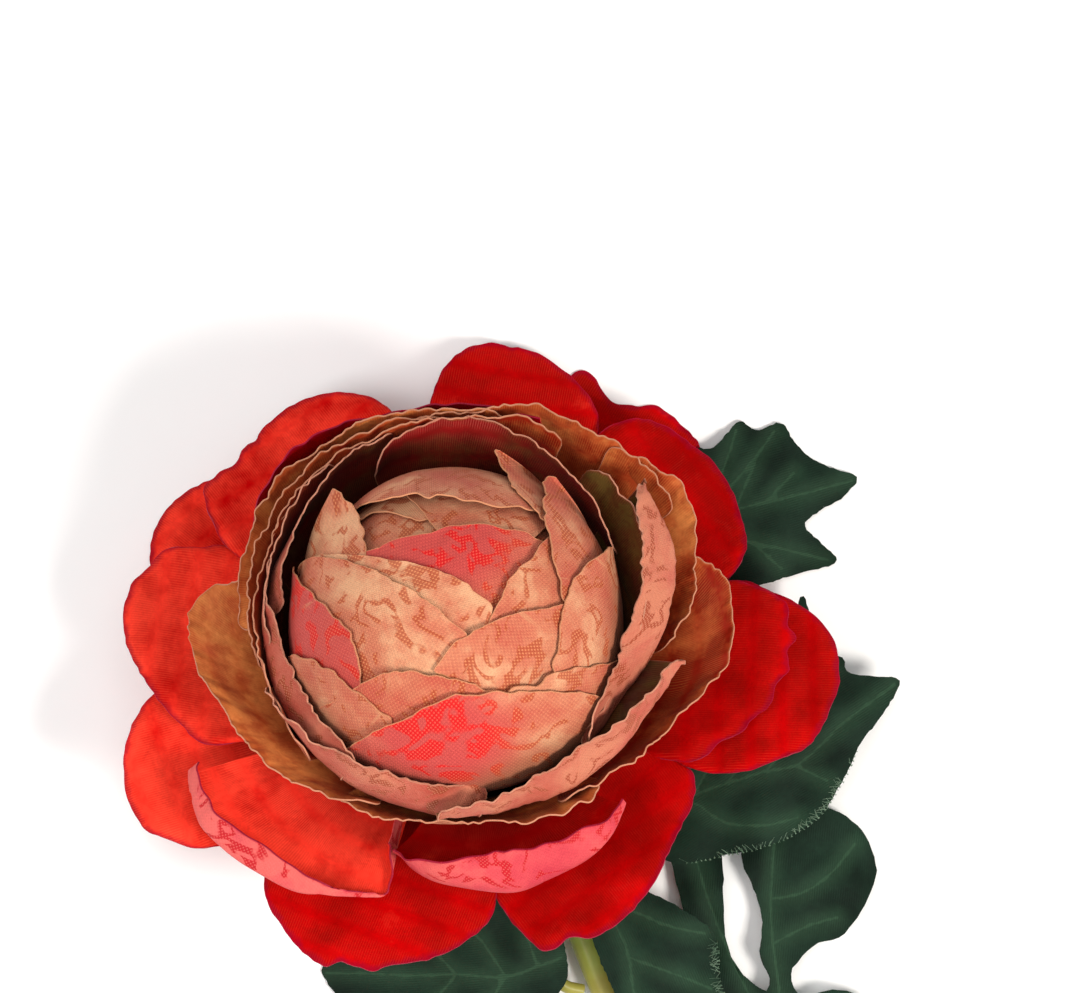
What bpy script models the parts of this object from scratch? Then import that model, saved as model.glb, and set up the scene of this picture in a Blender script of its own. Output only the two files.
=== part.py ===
"""A cut artificial flower of printed fabric, laid on its back on a table.

The bloom has four rings of petals, each ring one piece: wide guard petals on a disc, tan cup
petals and pale collar petals on nested bowls, and a ball of overlapping heart petals. A calyx
with sepals holds them to the stem, whose neck turns from the surface up into the bloom. Five
leaves on thin stalks meet the stem.

The bloom is drawn in its own axes: u to the right, v towards the far side, w up the flower's
axis, with bearings counted from u towards v. Stem and leaves are drawn on the table.
"""

import math

import bmesh
import bpy
import numpy as np
from mathutils import Vector
from mathutils.geometry import delaunay_2d_cdt

# Sizes are in millimetres and angles in degrees, and MM turns a size to metres
MM = 0.001
GAP = 0.3  # left between pieces that touch
SHEET = 0.8  # thickness of a petal
BLADE = 0.8  # thickness of a leaf

# The bloom leans back from upright, and its base is this high over the table
BLOOM_TILT = 18.0
BLOOM_BASE = np.array([0.0, 13.0, 16.0])
# Middle of the flower's footprint, measured from the table under the stem's neck
FOOTPRINT_MIDDLE = (6.65, -26.1)

# Heart: a ball of petals, its middle this far up the axis
BALL_MIDDLE = 28.0
BALL_RADIUS = 23.0
BALL_HALF_HEIGHT = 22.0
BALL_SHIFT = -1.5  # the ball and its collar sit a little to the left in the cup
BALL_SIDES = 22
BALL_STEPS = 11

# Heart petals are sunk into the ball, start at this angle from its pole, and widen from a
# share of their width at the root; their free edge stands off further and falls back at the
# sides by a share of their length
BALL_DEPTH = 3.0
HEART_ROOT_POLAR = 98.0
HEART_ROOT_WIDTH = 0.75
HEART_ROOT_SINK = 0.3
HEART_EDGE_LIFT = 0.8
HEART_SIDE_FALL = 0.5
HEART_COLUMNS = 6
HEART_ROWS = 5

# Heart petals: root bearing, tip bearing, tip's angle from the pole, half-width, rise over the
# ball, and how blunt the tip is, from 1 for a plain point
HEART_PETALS = {
    "tip_red": (92, 329, 10, 11.5, 0.5, 1.3),
    "tip_yellow": (168, 310, 12, 10.5, 1.1, 1.8),
    "tip_beige": (194, 268, 15, 12.5, 1.7, 1.8),
    "tip_right": (2, 340, 14, 10.0, 1.1, 1.6),
    "tip_pink": (303, 318, 16, 13.0, 1.7, 2.2),
    "far_low": (92, 84, 20, 14.0, 1.1, 3.0),
    "far_left": (132, 130, 36, 9.0, 1.4, 1.8),
    "far_jagged": (57, 58, 42, 9.0, 1.4, 1.6),
    "far_arch": (97, 100, 35, 15.0, 2.0, 3.0),
    "right_pink": (26, 35, 38, 13.0, 2.0, 2.0),
    "near_strip": (318, 314, 38, 10.0, 1.4, 2.4),
    "near_peach": (240, 252, 34, 12.0, 1.4, 2.4),
    "left_point": (150, 143, 46, 8.0, 1.7, 1.4),
    "left_red": (186, 206, 45, 11.5, 2.3, 1.6),
    "right_gold": (350, 354, 43, 13.0, 2.6, 1.8),
    "left_pale": (214, 216, 53, 12.5, 2.0, 2.2),
    "near_wide": (277, 275, 37, 20.5, 2.7, 1.7),
}

# Bowls under the rings: inside and outside as offsets from the ball's surface, how far up
# the ball they climb, and how much further off the ball they are at their rim
COLLAR_BOWL = (0.4, 1.7, 60.0, 0.0)
CUP_BOWL = (2.1, 3.5, 38.0, 1.7)
BOWL_SIDES = 24
BOWL_STEPS = 5

# Ring whorls: root climb, rim climb, rim offset, petals, first bearing, half-width in degrees
COLLAR_WHORLS = [
    (54.0, 113.0, 4.6, 6, 18.0, 26.0),
    (44.0, 108.0, 6.9, 6, 48.0, 26.0),
]
CUP_WHORLS = [
    (34.0, 104.0, 9.3, 6, 78.0, 27.0),
]
WHORL_BOW = 0.7  # under 1, a whorl leaves the ball early and then climbs with it
WHORL_STEPS = 5
# Outer cup petals: bearing, rim radius, rim height, half-width in degrees, with the line they
# share below the rim as climb and offset from the ball
CUP_OUTER = {
    "far_left": (150, 37.0, 34.0, 22.0),
    "far": (104, 35.2, 35.0, 22.0),
    "far_right": (60, 36.8, 34.0, 20.0),
    "right_high": (23, 40.0, 28.0, 15.0),
    "right_rust": (352, 41.5, 21.0, 14.5),
    "right_low": (321, 37.5, 22.0, 14.5),
    "near_right": (286, 33.8, 27.0, 18.5),
    "near_left": (245, 34.2, 27.0, 20.0),
    "left_tan": (197, 42.5, 20.5, 24.5),
}
CUP_OUTER_LINE = [(24.0, 3.9), (42.0, 6.5), (68.0, 11.5)]

# Guard petals: bearing, reach, half-width, height at the free edge or None where the petal
# rests on the table, and rise of the turned-up rim
GUARD_UPPER = {
    "far": (80, 57, 17, 4.5, 0.0),
    "far_right": (38, 54, 18, 6.0, 0.0),
    "right": (357, 53, 19, 7.0, 0.0),
    "near_folded": (283, 39, 20, 7.0, 8.0),
    "near_left_folded": (229, 47, 20, 8.0, 3.0),
    "left": (172, 57, 21, 6.5, 0.0),
    "far_left": (126, 54, 20, 5.0, 0.0),
}
GUARD_LOWER = {
    "behind_far_right": (59, 56, 15, None, 0.0),
    "behind_right": (0, 59, 20, 3.5, 0.0),
    "near_right": (306, 47, 22, 4.5, 0.0),
    "near_left": (250, 54, 21, 4.5, 0.0),
    "left_low": (199, 58, 18, 4.0, 0.0),
    "behind_left": (143, 57, 17, None, 0.0),
    "behind_far": (105, 50, 17, None, 0.0),
}
GUARD_DISC = (14.0, -0.6, 1.6)  # radius, underside and top
UPPER_LINE = [(7.0, 0.9), (20.0, 2.6), (36.0, 5.0)]
LOWER_LINE = [(7.0, 0.0), (20.0, 0.2), (36.0, 1.0)]
RESTING_LINE = [(7.0, 0.0), (20.0, -0.4), (34.0, -2.6)]
RESTING_LENGTH = 9.0  # of a petal's end that lies on the table
RESTING_SINK = 0.4  # how far its line would run under the table, where it is pressed flat
RIM_STEPS = [(-1.5, 0.0), (-0.5, 0.5), (-3.0, 1.0)]  # out from the reach, share of the rise
LINE_CLEARANCE = 8.0  # a petal's own end takes over this far inside its reach
# Radius that a guard petal is dished to, across its width, in each whorl
UPPER_DISH = 46.0
LOWER_DISH = 110.0
DISC_SIDES = 20

# Grid of each kind of petal, how far its free edge falls back at the sides as a share of its
# length, its width at the root, and the share of its length from which it is at its widest
SHAPES = {
    "guard": {"columns": 7, "rows": 5, "fall": 0.42, "root_width": 0.16, "widest_from": 0.92},
    "folded": {"columns": 7, "rows": 8, "fall": 0.3, "root_width": 0.16, "widest_from": 0.92},
    "whorl": {"columns": 6, "rows": 5, "fall": 0.16, "root_width": 0.8, "widest_from": 0.5},
    "outer_cup": {"columns": 6, "rows": 5, "fall": 0.2, "root_width": 0.8, "widest_from": 0.5},
    "sepal": {"columns": 4, "rows": 4, "fall": 0.6, "root_width": 0.6, "widest_from": 0.5},
}
FALL_POWER = 2.6  # keeps the middle of a free edge level and rounds its corners

# Calyx and sepals under the disc
CALYX_LINE = [
    (0.0, -6.2), (3.4, -6.2), (4.6, -5.2), (6.4, -3.6), (8.6, -1.8), (8.0, -0.9), (0.0, -0.9),
]
CALYX_SIDES = 16
SEPAL_COUNT = 5
SEPAL_LINE = [(4.0, -2.4), (9.0, -2.2), (15.0, -2.6), (20.0, -4.2)]
SEPAL_HALF_WIDTH = 4.6
SEPAL_DISH = 22.0
SEPAL_FIRST = 126.0

# Stem: it leaves the calyx along the bloom's axis, at these heights on it, and then follows
# its route along the table to the cut
STEM_RADIUS = 2.9
STEM_SIDES = 10
STEM_LIE = STEM_RADIUS * math.cos(math.pi / STEM_SIDES)  # one flat side rests on the table
NECK = (CALYX_LINE[0][1] - GAP, -7.4, -8.6)
STEM_STEPS = 30
STEM_ROUTE = [
    (0.8, 6.0, 4.2),
    (3.2, 0.0, STEM_LIE),
    (7.0, -7.0, STEM_LIE),
    (12.4, -17.0, STEM_LIE),
    (19.3, -31.0, STEM_LIE),
    (25.5, -48.0, STEM_LIE),
    (32.0, -70.0, STEM_LIE),
    (37.5, -94.0, STEM_LIE),
    (41.0, -120.0, STEM_LIE),
]

# Leaves: outlines on the table, in order round the blade, from the stalk's end back to it
LEAF_1 = [
    (33.0, 36.0), (32.0, 42.0), (36.0, 49.0), (40.0, 49.9), (44.0, 54.0), (47.0, 52.7),
    (51.0, 53.8), (53.0, 51.0), (55.5, 48.4), (59.4, 46.4), (63.6, 44.9), (61.0, 41.6),
    (57.2, 39.4), (54.8, 37.1), (57.6, 34.2), (60.0, 31.0), (53.6, 29.1), (47.0, 27.2),
    (41.0, 26.5), (36.5, 30.0),
]
LEAF_2 = [
    (31.5, -8.5), (34.0, -2.0), (39.0, 5.0), (46.0, 13.0), (52.0, 20.5), (54.2, 25.8),
    (56.0, 19.0), (58.0, 16.5), (60.5, 15.8), (61.6, 13.2), (65.8, 12.6), (70.0, 11.7),
    (66.2, 5.4), (63.4, 1.9), (61.0, -3.1), (57.3, -9.1), (53.7, -12.2), (49.5, -14.2),
    (41.0, -16.4), (33.0, -17.6), (29.5, -14.5),
]
LEAF_3 = [
    (18.5, -21.0), (23.0, -20.5), (29.8, -22.6), (34.5, -25.0), (39.0, -28.2), (40.3, -32.0),
    (40.4, -36.0), (41.6, -41.0), (41.0, -47.0), (38.6, -53.0), (35.4, -58.5), (32.0, -52.0),
    (28.6, -46.0), (24.4, -40.0), (21.2, -33.0), (19.0, -26.5),
]
LEAF_4 = [
    (15.6, -31.5), (13.6, -25.0), (8.0, -20.5), (0.0, -19.5), (-8.0, -22.5), (-15.0, -27.0),
    (-20.0, -31.5), (-24.0, -35.0), (-23.6, -37.5), (-20.0, -41.0), (-13.0, -43.0),
    (-9.0, -47.5), (-2.0, -49.0), (3.0, -46.0), (9.0, -46.5), (13.0, -41.0), (16.0, -36.0),
]
LEAF_5 = [
    (49.2, -51.0), (44.0, -45.0), (39.0, -36.0), (35.0, -26.0), (32.8, -15.0), (36.0, -11.5),
    (40.8, -15.5), (41.4, -24.0), (42.0, -31.0), (44.0, -35.5), (48.2, -38.9), (48.9, -36.8),
    (47.4, -32.8), (47.8, -27.6), (46.4, -22.2), (44.4, -17.0), (46.0, -10.0), (52.0, -6.5),
    (57.5, -8.6), (62.5, -11.2), (65.6, -15.5), (66.2, -21.0), (61.4, -29.5), (56.5, -31.2),
    (53.6, -34.0), (52.4, -36.6), (54.5, -39.8), (60.0, -38.6), (66.0, -41.0), (63.0, -45.5),
    (56.0, -49.0),
]
# Leaves: outline, stalk's end, tip, height at the stalk, middle and tip, how steeply the blade
# folds down from its rib, and the stalk's route from the stem to the blade
LEAVES = {
    "leaf_1": (LEAF_1, (34.0, 36.0), (63.6, 44.9), (2.6, 2.2, 0.4), 0.08,
               [(6.9, 1.6, 3.4), (9.5, 6.0, 3.2), (20.0, 21.0, 2.6), (38.0, 38.0, 2.4)]),
    "leaf_2": (LEAF_2, (31.5, -12.0), (70.0, 11.7), (7.6, 9.6, 6.5), 0.06,
               [(9.9, -4.9, 4.2), (14.0, -4.5, 5.4), (24.0, -9.0, 7.0), (36.0, -9.4, 8.1)]),
    "leaf_3": (LEAF_3, (19.5, -21.5), (35.4, -58.5), (8.2, 9.4, 4.0), 0.07,
               [(14.8, -14.6, 4.6), (16.6, -14.6, 7.4), (19.6, -20.0, 8.4), (22.6, -27.0, 9.0)]),
    "leaf_4": (LEAF_4, (15.0, -32.5), (-24.0, -36.0), (7.4, 7.8, 0.4), 0.07,
               [(18.4, -38.8, 4.6), (15.4, -37.8, 6.6), (12.4, -34.8, 7.6), (6.0, -34.0, 8.0)]),
    "leaf_5": (LEAF_5, (50.0, -49.0), (54.0, -7.0), (3.4, 3.6, 2.2), 0.04,
               [(39.9, -86.0, 3.0), (44.0, -78.0, 2.8), (49.0, -62.0, 3.0), (50.4, -44.0, 3.5)]),
}
LEAF_STEP = 7.5  # distance between points inside a blade
LEAF_MARGIN = 3.4  # and from them to its outline
# Ripple of a blade: height, turns along and across in radians a millimetre, and how far from
# the rib it is full
LEAF_RIPPLE = (0.5, 0.42, 0.3, 8.0)
STALK_RADIUS = 1.2
STALK_SIDES = 6
STALK_STEPS = 8

# Edges that turn more than this show as sharp
SHARP_EDGE = 40.0

# Colours as linear red, green, blue, with roughness
FINISHES = {
    "plastic_stem": ((0.18, 0.24, 0.035), 0.45),
    "plastic_calyx": ((0.20, 0.32, 0.06), 0.5),
    "red_fabric": ((0.62, 0.012, 0.018), 0.6),
    "tan_fabric": ((0.42, 0.12, 0.035), 0.7),
    "pale_fabric": ((0.62, 0.28, 0.18), 0.75),
    "peach_fabric": ((0.70, 0.36, 0.22), 0.75),
    "leaf_fabric": ((0.02, 0.065, 0.03), 0.65),
}


def finish(name):
    """A Principled material with one of the flower's finishes."""
    colour, roughness = FINISHES[name]
    made = bpy.data.materials.get(name) or bpy.data.materials.new(name)
    made.use_nodes = True
    shader = made.node_tree.nodes["Principled BSDF"]
    shader.inputs["Base Color"].default_value = (*colour, 1.0)
    shader.inputs["Roughness"].default_value = roughness
    shader.inputs["Metallic"].default_value = 0.0
    return made


def mesh_object(name, points, faces):
    """An object from points in millimetres, its faces turned outward."""
    mesh = bpy.data.meshes.new(name)
    mesh.from_pydata([tuple(float(x) * MM for x in p) for p in points], [], faces)
    shape = bmesh.new()
    shape.from_mesh(mesh)
    bmesh.ops.recalc_face_normals(shape, faces=shape.faces)
    shape.to_mesh(mesh)
    shape.free()
    made = bpy.data.objects.new(name, mesh)
    bpy.context.scene.collection.objects.link(made)
    return made


def keep_outer_shell(mesh):
    """Deletes every shell but the largest: hollows that fusing sealed, and loose scraps."""
    shape = bmesh.new()
    shape.from_mesh(mesh)
    unseen = set(shape.verts)
    shells = []
    while unseen:
        shell = set()
        ahead = [unseen.pop()]
        while ahead:
            corner = ahead.pop()
            shell.add(corner)
            for link in corner.link_edges:
                other = link.other_vert(corner)
                if other in unseen:
                    unseen.discard(other)
                    ahead.append(other)
        shells.append(shell)
    shells.sort(key=len, reverse=True)
    for shell in shells[1:]:
        bmesh.ops.delete(shape, geom=list(shell), context="VERTS")
    shape.to_mesh(mesh)
    shape.free()


def fuse(name, bodies, surface, solver="EXACT"):
    """Joins closed bodies in one object by a union, and names and paints it."""
    first = bodies[0]
    others = bodies[1:]
    if others:
        group = bpy.data.collections.new(name + "_bodies")
        bpy.context.scene.collection.children.link(group)
        for body in others:
            group.objects.link(body)
        union = first.modifiers.new("Union", "BOOLEAN")
        union.operation = "UNION"
        union.operand_type = "COLLECTION"
        union.collection = group
        union.solver = solver
        bpy.context.view_layer.update()
        seen = first.evaluated_get(bpy.context.evaluated_depsgraph_get())
        joined = bpy.data.meshes.new_from_object(seen)
        first.modifiers.clear()
        first.data = joined
        for body in others:
            bpy.data.objects.remove(body)
        bpy.data.collections.remove(group)
        keep_outer_shell(first.data)
    first.name = name
    first.data.name = name
    first.data.materials.clear()
    first.data.materials.append(finish(surface))
    first.data.shade_smooth()
    first.data.set_sharp_from_angle(angle=math.radians(SHARP_EDGE))
    return first


def along(line, share):
    """The point at a share of the way along a smooth curve through the line's points."""
    pts = [np.array(p, float) for p in line]
    pts = [2 * pts[0] - pts[1], *pts, 2 * pts[-1] - pts[-2]]
    spans = len(pts) - 3
    at = min(max(share, 0.0), 1.0) * spans
    k = min(int(at), spans - 1)
    x = at - k
    a, b, c, d = pts[k : k + 4]
    bend = (2 * a - 5 * b + 4 * c - d) * x**2
    twist = (3 * b - a - 3 * c + d) * x**3
    return 0.5 * (2 * b + (c - a) * x + bend + twist)


def measured(line, steps=24):
    """The same curve as a function of the share of its length, with its direction."""
    shares = [k / steps for k in range(steps + 1)]
    points = np.array([along(line, x) for x in shares])
    lengths = np.concatenate([[0], np.cumsum(np.linalg.norm(np.diff(points, axis=0), axis=1))])
    lengths = lengths / lengths[-1]

    def at(share):
        here, ahead, behind = (
            np.array([np.interp(x, lengths, column) for column in points.T])
            for x in (share, min(share + 0.02, 1), max(share - 0.02, 0))
        )
        return here, (ahead - behind) / np.linalg.norm(ahead - behind)

    return at


def swell(x):
    """Rises smoothly from 0 to 1 as x goes from 0 to 1."""
    x = min(max(x, 0.0), 1.0)
    return x * x * (3 - 2 * x)


def closed_sheet(name, inner, outer):
    """A closed body between two grids of points, split into triangles alike on both."""
    rows, columns = len(inner), len(inner[0])
    count = rows * columns
    points = [p for row in inner for p in row] + [p for row in outer for p in row]
    faces = []
    for j in range(rows - 1):
        for i in range(columns - 1):
            a = j * columns + i
            b, c, d = a + 1, a + columns + 1, a + columns
            faces += [(a, b, c), (a, c, d)]
            faces += [(count + c, count + b, count + a), (count + d, count + c, count + a)]
    rim = [i for i in range(columns)]
    rim += [j * columns + columns - 1 for j in range(1, rows)]
    rim += [(rows - 1) * columns + i for i in range(columns - 2, -1, -1)]
    rim += [j * columns for j in range(rows - 2, 0, -1)]
    for a, b in zip(rim, rim[1:] + rim[:1]):
        faces += [(a, count + a, count + b), (a, count + b, b)]
    return mesh_object(name, points, faces)


def turned(name, line, sides):
    """A closed solid turned round the bloom's axis, from a line that starts and ends on it."""
    ring = line[1:-1]
    points = [(0, 0, line[0][1])]
    for r, w in ring:
        for k in range(sides):
            turn = 2 * math.pi * k / sides
            points.append((r * math.cos(turn), r * math.sin(turn), w))
    points.append((0, 0, line[-1][1]))
    last = len(points) - 1
    faces = []
    for k in range(sides):
        n = (k + 1) % sides
        faces.append((0, 1 + n, 1 + k))
        for j in range(len(ring) - 1):
            low, high = 1 + j * sides, 1 + (j + 1) * sides
            faces.append((low + k, low + n, high + n, high + k))
        start = 1 + (len(ring) - 1) * sides
        faces.append((start + k, start + n, last))
    return mesh_object(name, points, faces)


def off_ball(climb, offset):
    """Radius and height of a point outside the ball: climb is 0 under it and 90 at its waist."""
    turn = math.radians(climb)
    return np.array([
        (BALL_RADIUS + offset) * math.sin(turn),
        BALL_MIDDLE - (BALL_HALF_HEIGHT + offset) * math.cos(turn),
    ])


def bowl(name, inside, outside, climb, flare):
    """A bowl that follows the ball's underside between two offsets, and flares off it."""
    shares = [k / BOWL_STEPS for k in range(BOWL_STEPS + 1)]
    inner = [tuple(off_ball(climb * x, inside + flare * x)) for x in shares]
    outer = [tuple(off_ball(climb * x, outside + flare * x)) for x in reversed(shares)]
    return turned(name, inner + outer, BOWL_SIDES)


def petal(name, line, bearing, half_width, shape, dish=None, table=False):
    """A petal: its middle line runs out from the axis, and it widens to each side of it.

    Without dish, it wraps round the axis and its half-width is an angle. With dish, it is a
    shallow trough of that radius and its half-width is a length.
    """
    columns = shape["columns"]
    rows = shape["rows"]
    root_width = shape["root_width"]
    turn = math.radians(bearing)
    out, side, up = (
        np.array([math.cos(turn), math.sin(turn), 0.0]),
        np.array([-math.sin(turn), math.cos(turn), 0.0]),
        np.array([0.0, 0.0, 1.0]),
    )
    middle_line = measured(line)
    faces_in = []
    faces_out = []
    for j in range(rows + 1):
        row_in = []
        row_out = []
        for i in range(columns + 1):
            s = 2 * i / columns - 1
            t = (1 - shape["fall"] * abs(s) ** FALL_POWER) * j / rows
            (r, w), slope = middle_line(t)
            inward = -slope[1] * out + slope[0] * up
            share = root_width + (1 - root_width) * swell(t / shape["widest_from"])
            bend = dish or r
            angle = s * share * (half_width / dish if dish else math.radians(half_width))
            middle = r * out + w * up + side * bend * math.sin(angle)
            middle = middle + inward * bend * (1 - math.cos(angle))
            facing = inward * math.cos(angle) - side * math.sin(angle)
            row_in.append(middle + facing * SHEET / 2)
            row_out.append(middle - facing * SHEET / 2)
        if table:
            row_in = [above_table(p, SHEET) for p in row_in]
            row_out = [above_table(p, 0.0) for p in row_out]
        faces_in.append(row_in)
        faces_out.append(row_out)
    return closed_sheet(name, faces_in, faces_out)


def table_height(bearing, r):
    """Height on the bloom's axis where a point this far out along a bearing is on the table."""
    tilt = math.radians(BLOOM_TILT)
    return (r * math.sin(math.radians(bearing)) * math.sin(tilt) - BLOOM_BASE[2]) / math.cos(tilt)


def above_table(point, height):
    """The same point, or straight above it along the axis where it would be under the table."""
    tilt = math.radians(BLOOM_TILT)
    z = BLOOM_BASE[2] - point[1] * math.sin(tilt) + point[2] * math.cos(tilt)
    return point + np.array([0, 0, max(0.0, height - z) / math.cos(tilt)])


def guard_petals():
    """Two whorls of wide petals on one disc."""
    radius, under, top = GUARD_DISC
    section = [(0, under), (radius, under + 0.6), (radius, top - 0.8), (0, top)]
    bodies = [turned("disc", section, DISC_SIDES)]
    for whorl, whorl_line, dish in (
        (GUARD_UPPER, UPPER_LINE, UPPER_DISH),
        (GUARD_LOWER, LOWER_LINE, LOWER_DISH),
    ):
        for name, (bearing, reach, half_width, height, rim) in whorl.items():
            line = whorl_line
            if height is None:
                line = RESTING_LINE
                ends = (reach - RESTING_LENGTH, reach)
                end = [(r, table_height(bearing, r) - RESTING_SINK) for r in ends]
            elif rim:
                end = [(reach + out, height + share * rim) for out, share in RIM_STEPS]
            else:
                end = [(reach, height)]
            path = [p for p in line if p[0] < reach - LINE_CLEARANCE] + end
            shape = SHAPES["folded" if rim else "guard"]
            bodies.append(petal(name, path, bearing, half_width, shape, dish, table=True))
    return fuse("guard_petals", bodies, "red_fabric", "MANIFOLD")


def ring_petals(name, base, whorls, outer, surface):
    """Whorls of petals that stand round the ball from one bowl."""
    inside, outside, climb, flare = base
    bodies = [bowl("bowl", *base)]
    for root, rim, offset, count, first, half_angle in whorls:
        start = (inside + outside) / 2 + flare * root / climb
        line = []
        for k in range(WHORL_STEPS + 1):
            x = k / WHORL_STEPS
            line.append(off_ball(root + (rim - root) * x, start + (offset - start) * x**WHORL_BOW))
        for k in range(count):
            bearing = first + 360 * k / count
            bodies.append(petal(f"{name}_{k}", line, bearing, half_angle, SHAPES["whorl"]))
    for part, (bearing, r, w, half_angle) in outer.items():
        line = [off_ball(up, offset) for up, offset in CUP_OUTER_LINE] + [(r, w)]
        bodies.append(petal(part, line, bearing, half_angle, SHAPES["outer_cup"]))
    return fuse(name, bodies, surface, "MANIFOLD")


def on_ball(direction, rise):
    """The point over the ball's surface in a direction from its middle."""
    size = np.array([BALL_RADIUS + rise, BALL_RADIUS + rise, BALL_HALF_HEIGHT + rise])
    return direction * size + np.array([0, 0, BALL_MIDDLE])


def towards(bearing, polar):
    """A direction from the ball's middle: polar is 0 at its top."""
    b, p = math.radians(bearing), math.radians(polar)
    return np.array([math.sin(p) * math.cos(b), math.sin(p) * math.sin(b), math.cos(p)])


def heart_petals():
    """The ball, and the petals that lap over it like scales, each sunk into it."""
    line = [tuple(off_ball(180 * k / BALL_STEPS, 0)) for k in range(BALL_STEPS + 1)]
    bodies = [turned("core", line, BALL_SIDES)]
    for name, (root, tip, polar, half_width, rise, blunt) in HEART_PETALS.items():
        start = towards(root, HEART_ROOT_POLAR)
        end = towards(tip, polar)
        arc = math.acos(float(start @ end))
        across = np.cross(start, end) / math.sin(arc)
        inner = []
        outer = []
        for j in range(HEART_ROWS + 1):
            row_in = []
            row_out = []
            for i in range(HEART_COLUMNS + 1):
                s = 2 * i / HEART_COLUMNS - 1
                t = (1 - HEART_SIDE_FALL * abs(s) ** blunt) * j / HEART_ROWS
                middle = (math.sin((1 - t) * arc) * start + math.sin(t * arc) * end) / math.sin(arc)
                width = HEART_ROOT_WIDTH + (1 - HEART_ROOT_WIDTH) * swell(2 * t)
                spread = s * half_width * width / BALL_RADIUS
                aim = middle * math.cos(spread) + across * math.sin(spread)
                lift = (rise + HEART_ROOT_SINK) * swell(4 * t) - HEART_ROOT_SINK
                lift += HEART_EDGE_LIFT * t**4
                row_out.append(on_ball(aim, lift))
                row_in.append(on_ball(aim, -BALL_DEPTH))
            inner.append(row_in)
            outer.append(row_out)
        bodies.append(closed_sheet(name, outer, inner))
    return fuse("heart_petals", bodies, "peach_fabric", "MANIFOLD")


def calyx():
    """A small cup under the disc, with pointed sepals spread below the petals."""
    bodies = [turned("cup", CALYX_LINE, CALYX_SIDES)]
    for k in range(SEPAL_COUNT):
        bearing = SEPAL_FIRST + 360 * k / SEPAL_COUNT
        made = petal(f"sepal_{k}", SEPAL_LINE, bearing, SEPAL_HALF_WIDTH, SHAPES["sepal"], SEPAL_DISH)
        bodies.append(made)
    return fuse("calyx", bodies, "plastic_calyx")


def tube(name, route, radius, sides, steps, lowest=0.0):
    """A round bar along a smooth route, with one flat side down and flat ends."""
    points = []
    faces = []
    for k in range(steps + 1):
        share = k / steps
        here = along(route, share)
        here[2] = max(here[2], lowest)
        run = along(route, min(share + 0.01, 1)) - along(route, max(share - 0.01, 0))
        run = run / np.linalg.norm(run)
        side = np.cross(run, (0, 0, 1))
        side = side / np.linalg.norm(side)
        rise = np.cross(side, run)
        for i in range(sides):
            turn = -math.pi / 2 + math.pi / sides + 2 * math.pi * i / sides
            points.append(here + radius * (side * math.cos(turn) + rise * math.sin(turn)))
    for k in range(steps):
        for i in range(sides):
            n = (i + 1) % sides
            faces.append((k * sides + i, k * sides + n, (k + 1) * sides + n, (k + 1) * sides + i))
    faces.append(tuple(range(sides - 1, -1, -1)))
    faces.append(tuple(steps * sides + i for i in range(sides)))
    return mesh_object(name, points, faces)


def bloom_to_table(point):
    """A point of the bloom, in the table's axes."""
    tilt = math.radians(BLOOM_TILT)
    u, v, w = point
    y = v * math.cos(tilt) + w * math.sin(tilt)
    z = -v * math.sin(tilt) + w * math.cos(tilt)
    return BLOOM_BASE + np.array([u, y, z])


def stem():
    """The stem, from its neck under the calyx to the cut."""
    route = [bloom_to_table((0, 0, w)) for w in NECK] + STEM_ROUTE
    bar = tube("bar", route, STEM_RADIUS, STEM_SIDES, STEM_STEPS, STEM_LIE)
    return fuse("stem", [bar], "plastic_stem")


def leaf(name):
    """A flat blade cut to its outline, arched along its rib, with the stalk fused to it."""
    outline, foot, tip, heights, fold, stalk_route = LEAVES[name]
    foot = np.array(foot)
    length = math.dist(foot, tip)
    run = (tip - foot) / length
    across = np.array([-run[1], run[0]])
    ripple, turns_along, turns_across, full_off = LEAF_RIPPLE

    def height(p):
        gone = float((p - foot) @ run)
        off = abs(float((p - foot) @ across))
        share = min(max(gone / length, 0.0), 1.0)
        start, middle, end = heights
        arch = start * (1 - share) * (1 - 2 * share)
        arch += 4 * middle * share * (1 - share)
        arch += end * share * (2 * share - 1)
        wave = ripple * math.sin(turns_along * gone + turns_across * off) * swell(off / full_off)
        return max(arch - fold * off + wave, BLADE / 2)

    low = np.min(outline, axis=0)
    high = np.max(outline, axis=0)
    inside = []
    for x in np.arange(low[0] + LEAF_STEP / 2, high[0], LEAF_STEP):
        for y in np.arange(low[1] + LEAF_STEP / 2, high[1], LEAF_STEP):
            if min(math.dist((x, y), p) for p in outline) > LEAF_MARGIN:
                inside.append((x, y))
    corners = [Vector(p) for p in outline + inside]
    flat, _, triangles = delaunay_2d_cdt(corners, [], [range(len(outline))], 1, 1e-4)[:3]
    top = []
    bottom = []
    for p in flat:
        z = height(np.array(p))
        top.append((p.x, p.y, z + BLADE / 2))
        bottom.append((p.x, p.y, z - BLADE / 2))
    n = len(flat)
    faces = []
    sides = set()
    for a, b, c in triangles:
        faces += [(a, b, c), (n + c, n + b, n + a)]
        sides |= {(a, b), (b, c), (c, a)}
    for a, b in sides:
        if (b, a) not in sides:
            faces += [(b, a, n + a), (b, n + a, n + b)]
    blade = mesh_object("blade", top + bottom, faces)
    stalk = tube("stalk", stalk_route, STALK_RADIUS, STALK_SIDES, STALK_STEPS)
    return fuse(name, [blade, stalk], "leaf_fabric")


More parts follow.
